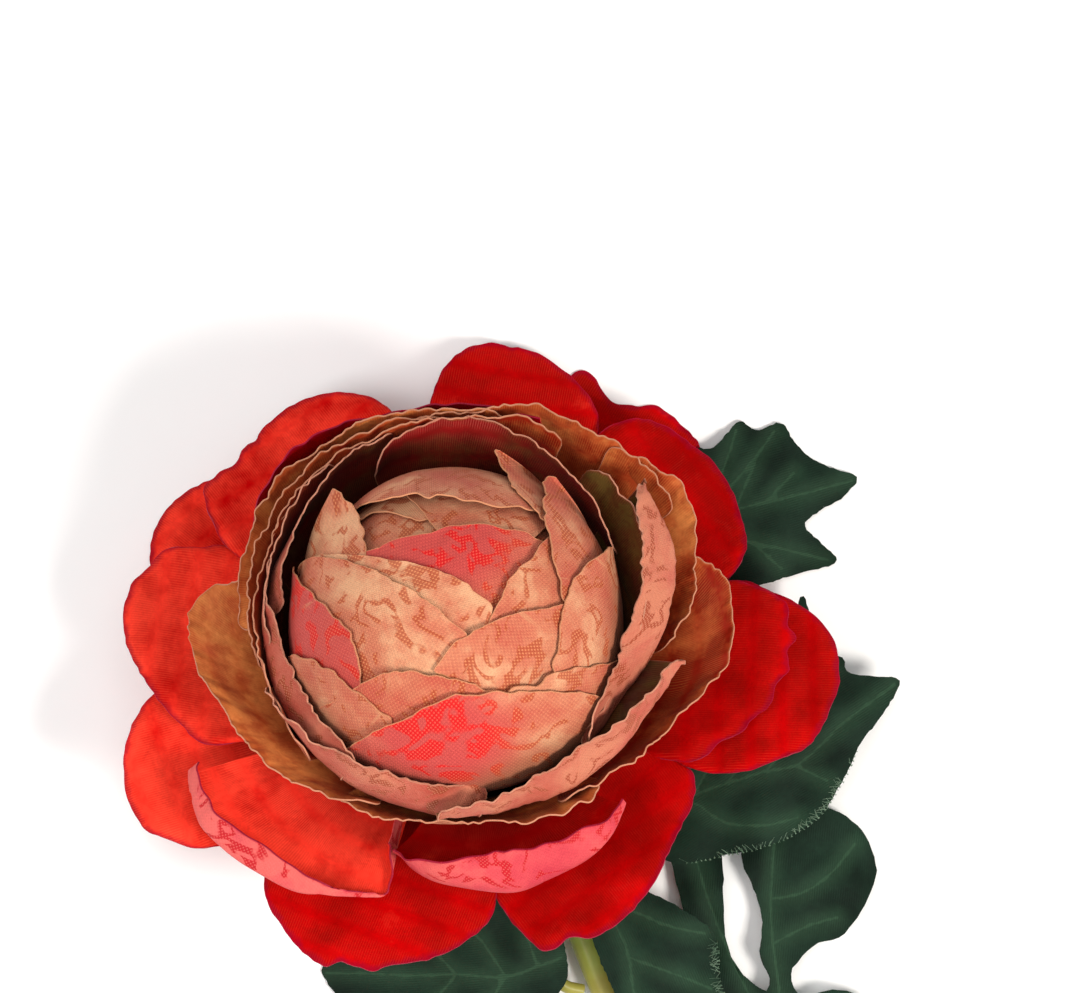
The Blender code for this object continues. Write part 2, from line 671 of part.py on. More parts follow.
def build():
    for old in list(bpy.data.objects):
        bpy.data.objects.remove(old)
    table = bpy.data.objects.new("table", None)
    axis = bpy.data.objects.new("bloom_axis", None)
    for empty in (table, axis):
        bpy.context.scene.collection.objects.link(empty)
    table.location = (-FOOTPRINT_MIDDLE[0] * MM, -FOOTPRINT_MIDDLE[1] * MM, 0)
    axis.parent = table
    axis.location = Vector(BLOOM_BASE) * MM
    axis.rotation_euler = (-math.radians(BLOOM_TILT), 0, 0)
    rings = [
        guard_petals(),
        ring_petals("cup_petals", CUP_BOWL, CUP_WHORLS, CUP_OUTER, "tan_fabric"),
        ring_petals("collar_petals", COLLAR_BOWL, COLLAR_WHORLS, {}, "pale_fabric"),
        heart_petals(),
        calyx(),
    ]
    for piece in rings:
        piece.parent = axis
        if piece.name in ("collar_petals", "heart_petals"):
            piece.location.x = BALL_SHIFT * MM
    for piece in [stem()] + [leaf(name) for name in LEAVES]:
        piece.parent = table


build()
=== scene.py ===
# %% [markdown]
# # A cut flower of printed cloth
# A flower like this is made on a bench. Petals are die-cut from stiffened polyester satin that was
# printed on both sides, pressed hot into shape, threaded on a wire in whorls and glued round a
# padded core. Every petal here is therefore a real sheet of cloth with two faces and a cut edge.

# %% Load the solids
import math

import bpy
import numpy as np
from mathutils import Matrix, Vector
from mathutils.geometry import delaunay_2d_cdt


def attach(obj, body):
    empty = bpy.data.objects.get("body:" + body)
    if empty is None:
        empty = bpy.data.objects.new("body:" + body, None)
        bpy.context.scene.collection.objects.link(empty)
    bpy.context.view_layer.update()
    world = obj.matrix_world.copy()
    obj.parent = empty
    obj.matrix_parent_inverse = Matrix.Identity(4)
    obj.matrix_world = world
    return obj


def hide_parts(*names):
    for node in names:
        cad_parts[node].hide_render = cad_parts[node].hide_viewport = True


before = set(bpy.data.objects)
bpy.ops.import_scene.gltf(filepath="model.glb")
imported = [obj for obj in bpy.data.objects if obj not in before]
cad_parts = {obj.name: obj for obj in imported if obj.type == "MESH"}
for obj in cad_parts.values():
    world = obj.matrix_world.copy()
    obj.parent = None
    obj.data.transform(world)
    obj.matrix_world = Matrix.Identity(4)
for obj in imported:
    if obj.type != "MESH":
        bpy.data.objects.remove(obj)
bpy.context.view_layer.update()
print("solids", sorted(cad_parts))

# %% [markdown]
# ## The bloom's own axes
# The bloom leans back from upright. Its petals are easier to write down in axes of its own, as a
# bearing round the flower, a distance out from the axis and a height along it, all in millimetres.
# One function then leans the points back and sets them down in the flower's place.

# %% From the bloom's axes to the table
MM = 0.001
CLOTH = 0.24  # thickness of the stiffened cloth
TILT = math.radians(18.0)
BLOOM_AT = np.array([-6.65, 39.1, 16.0])  # base of the bloom, from the middle of the footprint
TABLE_AT = np.array([-6.65, 26.1, 0.0])  # under the stem's neck, where leaves are measured from


def lean(points):
    """Points of the bloom in millimetres, turned and moved to the table's axes."""
    u, v, w = np.moveaxis(np.asarray(points, float), -1, 0)
    y = v * math.cos(TILT) + w * math.sin(TILT)
    z = w * math.cos(TILT) - v * math.sin(TILT)
    return np.stack([u, y, z], axis=-1) + BLOOM_AT


def round_axis(bearing, r, w):
    """Points from bearings in degrees, distances from the axis and heights on it."""
    turn, r, w = np.broadcast_arrays(np.radians(bearing), r, w)
    return np.stack([r * np.cos(turn), r * np.sin(turn), w], axis=-1)


print("bloom base", lean([0.0, 0.0, 0.0]))

# %% [markdown]
# ## Curves
# A petal's outline is read at a dozen places and a smooth curve joins them. The places on it are
# then spaced out evenly, so that a nick or a fold has the same size all along an edge. From root
# to edge the places crowd together, because that is where the cloth bends most.

# %% Smooth curves
FINE_STEPS = 600  # places on a curve before it is spaced out evenly


def swell(x):
    """Rises smoothly from 0 to 1."""
    x = np.clip(x, 0.0, 1.0)
    return x * x * (3 - 2 * x)


def unit(vectors):
    """The same directions with length one."""
    return vectors / np.linalg.norm(vectors, axis=-1, keepdims=True)


def crowded(count, power):
    """Shares from 0 to 1 that lie closer together towards 1."""
    return 1 - (1 - np.linspace(0, 1, count)) ** power


def through(points, t):
    """A smooth curve through the points of the first axis, at shares t of its spans."""
    p = np.asarray(points, float)
    p = np.concatenate([2 * p[:1] - p[1:2], p, 2 * p[-1:] - p[-2:-1]])
    spans = len(p) - 3
    at = np.clip(np.asarray(t, float), 0, 1) * spans
    k = np.minimum(at.astype(int), spans - 1)
    x = (at - k).reshape(at.shape + (1,) * (p.ndim - 1))
    a, b, c, d = (p[k + n] for n in range(4))
    return 0.5 * (2 * b + (c - a) * x + (2 * a - 5 * b + 4 * c - d) * x**2 + (3 * b - a - 3 * c + d) * x**3)


def travelled(points):
    """Distance gone along the first axis of a line or a grid of points."""
    steps = np.linalg.norm(np.diff(points, axis=0), axis=-1)
    return np.concatenate([0 * steps[:1], np.cumsum(steps, axis=0)])


def evenly(points, count):
    """The same curve at evenly spaced places, with the distance along it."""
    fine = through(points, np.linspace(0, 1, FINE_STEPS))
    gone = travelled(fine)
    at = np.linspace(0, gone[-1], count)
    return np.stack([np.interp(at, gone, column) for column in fine.T], axis=-1), at


print("a quarter turn's length", evenly(round_axis([0, 30, 60, 90], 10, 0), 9)[1][-1].round(2))

# %% [markdown]
# ## What pressing and cutting leave
# Cloth is never as regular as a formula. Three small helpers add what the tools leave behind: a
# nicked cut edge, a ruffled margin and shallow lumps. Each has a seed, so every run gives the
# same flower. A ruffle is strongest at the edge and dies away inwards.

# %% Nicks, ruffles and lumps
STRENGTH_RUN = 6  # folds between one strength of a ruffle and the next
LUMP_WAVES = 6  # waves in random directions that make up the lumps


def nicks(along, step, seed):
    """A cut edge: straight runs between random places, from -1 to 1."""
    count = int(np.max(along) / step) + 3
    knots = np.random.default_rng(seed).uniform(-1, 1, count)
    return np.interp(along, np.arange(count) * step, knots)


def crimp(along, step, seed):
    """A row of folds: a smooth line through random heights, unevenly spaced, from -1 to 1."""
    rng = np.random.default_rng(seed)
    count = int(np.max(along) / step) + 6
    folds = np.arange(count)
    knots = np.cumsum(rng.uniform(0.5, 1.5, count)) * step
    marks = np.arange(0, count + STRENGTH_RUN, STRENGTH_RUN)
    strength = np.interp(folds, marks, rng.uniform(0.15, 1.0, len(marks)))
    heights = strength * rng.uniform(0.4, 1.0, count) * np.where(folds % 2 == 0, 1, -1)
    x = np.interp(along, np.concatenate([[-step], knots]), np.arange(count + 1))
    k = np.minimum(x.astype(int), count - 2)
    return heights[k] + (heights[k + 1] - heights[k]) * swell(x - k)


def ruffle(edge, along, height, fade, pitch, seed):
    """How far a ruffle moves the cloth, by the distance from the edge and the place along it."""
    return height * np.exp(-edge / fade) * crimp(along, pitch, seed)[None]


def lumps(x, y, size, seed):
    """Shallow lumps about this far apart, from about -1 to 1."""
    rng = np.random.default_rng(seed)
    total = 0.0
    for _ in range(LUMP_WAVES):
        aim = rng.uniform(0, 2 * math.pi)
        pitch = size * rng.uniform(0.7, 1.6)
        across = x * math.cos(aim) + y * math.sin(aim)
        total = total + np.sin(2 * math.pi * across / pitch + rng.uniform(0, 6.3))
    return total / 3.5


print("a row of folds", np.round(crimp(np.arange(0, 12, 3.0), 6.0, 1), 2))

# %% [markdown]
# ## Cloth as a mesh
# A petal is a grid: rows run from its root to its free edge, columns from side to side. The grid
# is given a thickness with the Solidify modifier, which also lets the two faces have different
# materials, as the two prints have. Each point carries four numbers for the materials: its
# distance from the cut edge in millimetres, how far up the petal it is, the tint of the dye, and
# how much of the printed patch is on it. A map in millimetres carries the weave.

# %% Meshes with a map
def mapped_mesh(name, points, faces, cloth):
    """A mesh in metres, with a map of its cloth or skin in millimetres."""
    mesh = bpy.data.meshes.new(name)
    mesh.from_pydata((points * MM).tolist(), [], faces)
    corner = np.zeros(len(mesh.loops), np.int32)
    mesh.loops.foreach_get("vertex_index", corner)
    mesh.uv_layers.new(name="cloth").data.foreach_set("uv", cloth[corner].astype(np.float32).ravel())
    return mesh


def placed(name, data):
    """A new object in the scene."""
    made = bpy.data.objects.new(name, data)
    bpy.context.scene.collection.objects.link(made)
    return made


def stand_for(piece, node):
    """Puts a finished piece in the place of its solid."""
    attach(piece, "root")
    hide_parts(node)
    print(piece.name, "stands for", node)


print("a map is", round(1 / MM), "times as large as its mesh")

# %% Sheets of cloth and how they are sewn into one piece
CARRIED = ("edge", "up", "dye", "patch")
MAP_SHIFT = 40.0  # millimetres from the map of a sheet to the next, so that prints differ
CUT_ANGLE = math.radians(65)  # the cut edge of the cloth stays sharp, the folds don't


def push(points, amount):
    """Moves a grid's points along its own normals, which face the outside of the petal."""
    across = np.gradient(points, axis=1)
    along = np.gradient(points, axis=0)
    normal = np.cross(across, along)
    normal = normal / np.maximum(np.linalg.norm(normal, axis=-1, keepdims=True), 1e-9)
    return points + normal * np.asarray(amount)[..., None]


def thicken(name, points, faces, cloth, carries, outside, inside, thickness):
    """A mesh of cloth with its map, its numbers, its thickness and its two materials."""
    mesh = mapped_mesh(name, points, np.asarray(faces).tolist(), cloth)
    for key, found in carries.items():
        mesh.attributes.new(key, "FLOAT", "POINT").data.foreach_set("value", found.astype(np.float32))
    mesh.materials.append(outside)
    mesh.materials.append(inside)
    made = placed(name, mesh)
    solid = made.modifiers.new("Thickness", "SOLIDIFY")
    solid.thickness = thickness * MM
    solid.offset = 0.0
    solid.material_offset = 1
    bpy.context.view_layer.update()
    final = bpy.data.meshes.new_from_object(made.evaluated_get(bpy.context.evaluated_depsgraph_get()))
    made.modifiers.clear()
    made.data = final
    final.shade_smooth()
    final.set_sharp_from_angle(angle=CUT_ANGLE)
    print(name, len(final.polygons), "faces")
    return made


def sheet(points, cloth, edge, up, dye, patch=0.0):
    """One petal: its grid of points on the table, its map and what each point carries."""
    shape = points.shape[:2]
    carries = {key: np.broadcast_to(value, shape) for key, value in zip(CARRIED, (edge, up, dye, patch))}
    return {"points": points, "cloth": cloth, "carries": carries}


def sew(name, sheets, outside, inside, thickness=CLOTH):
    """One mesh of all its sheets, with a thickness and a material on each face."""
    points, quads, cloth = [], [], []
    carries = {key: [] for key in CARRIED}
    start = 0
    for one in sheets:
        rows, columns = one["points"].shape[:2]
        place = start + np.arange(rows * columns).reshape(rows, columns)
        corners = [place[:-1, :-1], place[:-1, 1:], place[1:, 1:], place[1:, :-1]]
        quads.append(np.stack(corners, axis=-1).reshape(-1, 4))
        points.append(one["points"].reshape(-1, 3))
        cloth.append(one["cloth"].reshape(-1, 2) + MAP_SHIFT * len(cloth))
        for key, found in carries.items():
            found.append(np.ravel(one["carries"][key]))
        start += rows * columns
    points, quads, cloth = (np.concatenate(found) for found in (points, quads, cloth))
    carries = {key: np.concatenate(found) for key, found in carries.items()}
    return thicken(name, points, quads, cloth, carries, outside, inside, thickness)


print("a sheet carries", CARRIED)

# %% [markdown]
# ## Colours and nodes
# Dye colours are given as sRGB hex values, and Blender works in linear light, so one function turns
# them over. Another adds a node with its settings and its inputs in one line, and gives the output
# that the next node takes.

# %% Colour and node helpers
def linear(code):
    """A hex colour in linear light."""
    parts = [int(code[k : k + 2], 16) / 255 for k in (1, 3, 5)]
    return (*[c / 12.92 if c <= 0.04045 else ((c + 0.055) / 1.055) ** 2.4 for c in parts], 1.0)


def add(tree, kind, settings, *inputs, out=0, **named):
    """Adds a node; an input, in order or by name, is a value or another node's output."""
    node = tree.nodes.new("ShaderNode" + kind)
    for key, value in settings.items():
        setattr(node, key, value)
    for key, value in [*enumerate(inputs), *named.items()]:
        if isinstance(key, str):
            key = int(key[1:]) if key[1:].isdigit() else key.replace("_", " ")
        if isinstance(value, bpy.types.NodeSocket):
            tree.links.new(value, node.inputs[key])
        else:
            node.inputs[key].default_value = value
    return node.outputs[out]


print("red", [round(c, 3) for c in linear("#D81014")])

# %% [markdown]
# ## Printed polyester satin
# The cloth is a plain weave of polyester thread, about 0.6 mm from one raised thread to the next,
# dyed through and then printed. What the eye gets is a soft sheen, not a gloss. The print is brushed
# strokes of a darker tone, and it is there that painted glints on the raised threads show best, as
# rows of pale dots.
# The dyed face is a satin, and its threads lie side by side in fine ribs. The weave is two sine
# waves multiplied, so threads go over and under. Everything is in millimetres on the cloth's own
# map, so the scale of a noise is one over the size of what it draws.

# %% The weave
BACK_THREADS = (0.29, 0.37)  # half of the weave's repeat, across and along
SATIN_THREADS = (0.19, 5.0)  # ribs, because the floats of a satin lie side by side
LEAF_THREADS = (5.0, 0.19)  # the same ribs, the other way
PLUS = {"operation": "ADD"}
MINUS = {"operation": "SUBTRACT"}
TIMES = {"operation": "MULTIPLY"}
TIMES_PLUS = {"operation": "MULTIPLY_ADD"}
LARGER = {"operation": "MAXIMUM"}
UNSIGNED = {"operation": "ABSOLUTE"}
SCALE = {"operation": "SCALE"}
SMOOTH = {"interpolation_type": "SMOOTHSTEP"}
COLOURS = {"data_type": "RGBA"}
CLAMPED = {"use_clamp": True}


def weave(tree, place, halves):
    """Where threads pass over and under, from -1 to 1."""
    xyz = add(tree, "SeparateXYZ", {}, place).node.outputs
    waves = []
    for along, half in zip(xyz, halves):
        turn = add(tree, "Math", TIMES, along, math.pi / half)
        waves.append(add(tree, "Math", {"operation": "SINE"}, turn))
    return add(tree, "Math", TIMES, *waves)


print("threads", 2 * BACK_THREADS[0], "mm apart")

# %% [markdown]
# The dye is the first layer. It runs through three tones in blotches, turns to another colour where
# the red patch is printed, and ends in a margin with an uneven border. Towards the root a painted
# shade darkens it, for the shade that falls deep among the petals.

# %% The dye
BLOTCHES = 0.12  # a blotch every 8 mm
SMUDGES = 0.5  # a smudge every 2 mm


def dyed(tree, place, carried, blotch, look):
    """The colour of the cloth before it is printed."""
    tint = add(tree, "MapRange", {}, blotch, 0.32, 0.68, -look["mottle"], look["mottle"])
    tint = add(tree, "Math", PLUS | CLAMPED, tint, carried["dye"])
    ramp = add(tree, "ValToRGB", {}, tint)
    low, middle, high = (linear(tone) for tone in look["tones"])
    stops = ramp.node.color_ramp.elements
    stops[0].color = low
    stops[1].color = high
    stops.new(0.5).color = middle
    # painted shade: towards the root the colour turns to the darker root tone, for the shade deep among the
    # petals
    root = add(tree, "MapRange", SMOOTH, carried["up"], 0.3, 0.8, 1.0, 0.0)
    colour = add(tree, "Mix", COLOURS, root, i6=ramp, i7=linear(look["root"]), out=2)
    colour = add(tree, "Mix", COLOURS, carried["patch"], i6=colour, i7=linear(look["patch"]), out=2)
    width = look["margin_width"]
    smudge = add(tree, "TexNoise", {}, Vector=place, Scale=SMUDGES, Detail=3.0, Roughness=0.65)
    border = add(tree, "Math", TIMES_PLUS, smudge, 1.6 * width, -0.8 * width)
    border = add(tree, "Math", PLUS, border, carried["edge"])
    border = add(tree, "MapRange", SMOOTH, border, 0.0, width, look["margin_show"], 0.0)
    return add(tree, "Mix", COLOURS, border, i6=colour, i7=linear(look["margin"]), out=2)


print("blotches", round(1 / BLOTCHES), "mm and smudges", round(1 / SMUDGES), "mm apart")

# %% [markdown]
# The print comes next. Its strokes are the contour lines of a noise, broken up by another, and they
# are a little broader in the red patch. Raised threads get a painted glint, pale in the strokes and
# fainter in the rest of the cloth, and a painted shade darkens the weave where threads pass under.

# %% The print and the threads in it
STROKES = 0.16  # a stroke every 6 mm
GAPS = 0.25  # a stroke is broken every 4 mm
GRAIN = 2.4  # threads take the dye unevenly every 0.4 mm


def brushed(tree, place, carried, show):
    """Strokes of the brush, from 0 to the most that they show."""
    drawn = add(tree, "TexNoise", {}, Vector=place, Scale=STROKES, Detail=1.2, Distortion=1.4)
    drawn = add(tree, "Math", MINUS, drawn, 0.5)
    drawn = add(tree, "Math", UNSIGNED, drawn)
    drawn = add(tree, "Math", TIMES_PLUS, carried["patch"], -0.018, drawn)
    strokes = add(tree, "MapRange", SMOOTH, drawn, 0.04, 0.065, show, 0.0)
    gaps = add(tree, "TexNoise", {}, Vector=place, Scale=GAPS, Detail=1.5)
    gaps = add(tree, "MapRange", SMOOTH, gaps, 0.47, 0.52, 0.0, 1.0)
    return add(tree, "Math", TIMES, strokes, gaps)


def printed(tree, place, carried, over, colour, look):
    """The dyed colour with the print and the painted glints on raised threads, and how much glint shows."""
    strokes = brushed(tree, place, carried, look["mark_show"])
    inks_and_glints = {}
    # the thread colour is a painted glint on the raised threads; the mark colour is the print
    for key in ("mark", "thread"):
        own, red = linear(look[key]), linear(look["patch_" + key])
        inks_and_glints[key] = add(tree, "Mix", COLOURS, carried["patch"], i6=own, i7=red, out=2)
    colour = add(tree, "Mix", COLOURS, strokes, i6=colour, i7=inks_and_glints["mark"], out=2)
    # painted glint: raised threads take the pale thread colour, most in the strokes
    raised = add(tree, "MapRange", SMOOTH, over, 0.1, 0.7, 0.0, look["thread_show"])
    plain = add(tree, "Math", TIMES_PLUS | CLAMPED, carried["dye"], look["lit"], look["all_over"])
    plain = add(tree, "Math", LARGER, strokes, plain)
    glint_share = add(tree, "Math", TIMES, raised, plain)
    colour = add(tree, "Mix", COLOURS, glint_share, i6=colour, i7=inks_and_glints["thread"], out=2)
    # painted shade: the colour darkens between the threads, where they pass under; the grain is uneven dye
    between = add(tree, "MapRange", {}, over, -1.0, 0.1, 0.92, 1.0)
    grain = add(tree, "TexNoise", {}, Vector=place, Scale=GRAIN, Roughness=0.6)
    grain = add(tree, "MapRange", {}, grain, To_Min=0.86, To_Max=1.14)
    weave_shade_and_grain = add(tree, "Math", TIMES, between, grain)
    return add(tree, "VectorMath", SCALE, colour, Scale=weave_shade_and_grain), glint_share


print("strokes", round(1 / STROKES), "mm and gaps", round(1 / GAPS), "mm apart")

# %% [markdown]
# Pale marks and relief come last. Creases near the edge get a painted highlight, and the cut itself
# shows the pale inside of the thread. Three bumps lie over each other: the round threads, the long
# folds of the pressing and broad soft lumps. The raised threads are the smoothest part, so they catch
# the light.

# %% Painted crease highlights, the cut, relief and the whole face of a cloth
THREAD_RISE = 0.00009  # heights of the bumps in metres
FOLD_RISE = 0.0016
LUMP_RISE = 0.0008
# patch_thread is the colour of the painted glint on raised threads in the red patch
USUAL = {
    "patch": "#E25C66", "patch_mark": "#DE0612", "patch_thread": "#F07A6E", "margin_show": 0.7,
    "mottle": 0.5, "roughness": 0.58, "pleat": 0.2, "creased": 0.0, "lit": 0.0, "gloss": 0.12,
    "threads": BACK_THREADS,
}


def crease_highlights_and_cut(tree, place, carried, colour, look):
    """Painted highlights on the creases near the edge, and the pale cut itself."""
    lines = add(tree, "VectorMath", TIMES, place, (0.8, 0.1, 1.0))
    # painted highlight: pale lines on the creases near the edge, where the folds catch the light
    crease_highlight = add(tree, "TexNoise", {}, Vector=lines, Scale=1.0, Detail=1.0)
    crease_highlight = add(tree, "MapRange", SMOOTH, crease_highlight, 0.66, 0.74, 0.0, look["creased"])
    near = add(tree, "MapRange", SMOOTH, carried["edge"], 1.0, 5.0, 1.0, 0.0)
    cut = add(tree, "MapRange", SMOOTH, carried["edge"], 0.03, 0.16, 0.8, 0.0)
    for share in (add(tree, "Math", TIMES, crease_highlight, near), cut):
        colour = add(tree, "Mix", COLOURS, share, i6=colour, i7=linear(look["cut"]), out=2)
    return colour


def relief(tree, place, over, blotch, pleat):
    """The normal of the cloth: threads, folds and lumps."""
    threads = add(tree, "Math", UNSIGNED, over)
    threads = add(tree, "Bump", {}, Strength=0.5, Distance=THREAD_RISE, Height=threads)
    lines = add(tree, "VectorMath", TIMES, place, (0.3, 0.06, 1.0))
    folds = add(tree, "TexNoise", {}, Vector=lines, Scale=1.0, Detail=1.5)
    pressed = add(tree, "Bump", {}, Strength=pleat, Distance=FOLD_RISE, Height=folds, Normal=threads)
    return add(tree, "Bump", {}, Strength=0.5, Distance=LUMP_RISE, Height=blotch, Normal=pressed)


def cloth_face(name, **named):
    """One face of the cloth, from its dye to its relief."""
    look = USUAL | named
    made = bpy.data.materials.new(name)
    made.use_nodes = True
    tree = made.node_tree
    shader = tree.nodes["Principled BSDF"].inputs
    place = add(tree, "UVMap", {"uv_map": "cloth"})
    carried = {key: add(tree, "Attribute", {"attribute_name": key}, out="Fac") for key in CARRIED}
    over = weave(tree, place, look["threads"])
    blotch = add(tree, "TexNoise", {}, Vector=place, Scale=BLOTCHES, Detail=4.0, Roughness=0.62)
    colour = dyed(tree, place, carried, blotch, look)
    colour, glint_share = printed(tree, place, carried, over, colour, look)
    tree.links.new(crease_highlights_and_cut(tree, place, carried, colour, look), shader["Base Color"])
    tree.links.new(relief(tree, place, over, blotch, look["pleat"]), shader["Normal"])
    shine = add(tree, "MapRange", {}, glint_share, 0.0, 1.0, look["roughness"], look["roughness"] - 0.2)
    tree.links.new(shine, shader["Roughness"])
    shader["Sheen Weight"].default_value = look["gloss"] / 6
    shader["Sheen Roughness"].default_value = 0.4
    shader["Specular IOR Level"].default_value = look["gloss"]
    return made


print("threads rise", THREAD_RISE / MM, "mm and folds", FOLD_RISE / MM, "mm")

# %% [markdown]
# Each petal has a printed back and a dyed face. Tones run from the reddest to the palest, a show is
# a share from 0 to 1, and the widths are millimetres. The root tone is a painted shade, darker than
# the dye, for the shade deep among the petals.

# %% The cloths of this flower
# the palest tone, coral, is partly a painted highlight, and the deep margin partly a painted shade of the
# rolled-down edge
red_satin = cloth_face(
    "red polyester satin, printed face", tones=("#9C0000", "#C20002", "#F83C2A"), root="#9A0204",
    margin="#8A0424", margin_width=1.3, cut="#A41838", mark="#A00208", mark_show=0.12,
    thread="#FF7250", thread_show=0.4, all_over=0.02, roughness=0.7, mottle=0.3,
    threads=SATIN_THREADS, lit=0.4, gloss=0.03)
pink_back = cloth_face(
    "red polyester satin, printed back", tones=("#C83A48", "#D64C52", "#E0645E"), root="#C83440",
    margin="#B81838", margin_width=0.5, cut="#8E1030", mark="#BE1420", mark_show=0.9,
    thread="#F08C80", thread_show=0.3, all_over=0.1)
# the deepest tone is partly a painted shade, for the right-hand cup petal that faces away from the light
tan_satin = cloth_face(
    "tan polyester satin, dyed face", tones=("#8C1A04", "#B25026", "#D88244"), root="#7A4420",
    margin="#B05E34", margin_width=0.5, cut="#C88668", mark="#8A3A16", mark_show=0.15,
    thread="#D88A48", thread_show=0.4, all_over=0.5, pleat=0.15, threads=SATIN_THREADS)
peach_back = cloth_face(
    "tan polyester satin, printed back", tones=("#B45C46", "#C07050", "#C8825C"), root="#985440",
    margin="#B87458", margin_width=0.4, cut="#C08466", mark="#984024", mark_show=0.8,
    thread="#D89068", thread_show=0.6, all_over=0.15)
# deep tones, partly dye and partly a painted shade for the far wall of the bowl
olive_satin = cloth_face(
    "olive polyester satin, dyed face", tones=("#660E0A", "#582812", "#5C441C"), root="#261408",
    margin="#7A3A24", margin_width=0.6, cut="#B07058", mark="#460E0A", mark_show=0.3,
    thread="#946034", thread_show=0.4, all_over=0.5, patch="#82100E", patch_mark="#A80C12",
    threads=SATIN_THREADS)
dusty_back = cloth_face(
    "olive polyester satin, printed back", tones=("#B44C3C", "#C06450", "#C8785C"), root="#965440",
    margin="#B8624C", margin_width=0.4, cut="#C48A70", mark="#9C4228", mark_show=0.85,
    thread="#E09878", thread_show=0.6, all_over=0.08)
heart_print = cloth_face(
    "peach polyester satin, printed back", tones=("#B85442", "#C47256", "#D69E78"), root="#A0644A",
    margin="#C07048", margin_width=0.3, cut="#CC8E68", mark="#A8482A", mark_show=0.8,
    thread="#E89A68", thread_show=0.65, all_over=0.3, patch="#BE4642", patch_mark="#D20208",
    patch_thread="#EC6A58", margin_show=0.4, creased=0.5)
heart_inside = cloth_face(
    "peach polyester satin, dyed face", tones=("#7A3A24", "#905430", "#A87040"), root="#5A3018",
    margin="#A06A44", margin_width=0.6, cut="#B8845C", mark="#6A2E1C", mark_show=0.3,
    thread="#C89050", thread_show=0.4, all_over=0.4)
print(len(bpy.data.materials), "materials so far")

# %% [markdown]
# ## Guard petals
# The widest petals lie in two whorls, one staggered under the other, on a small disc. Each was
# pressed to a shallow dish with a soft rolled margin. The outline of each was read at about ten
# places round its free edge. A grid fans out from the narrow root to that outline; its height
# comes from the whorl's own line, then the dish, the roll and a few lumps are added.

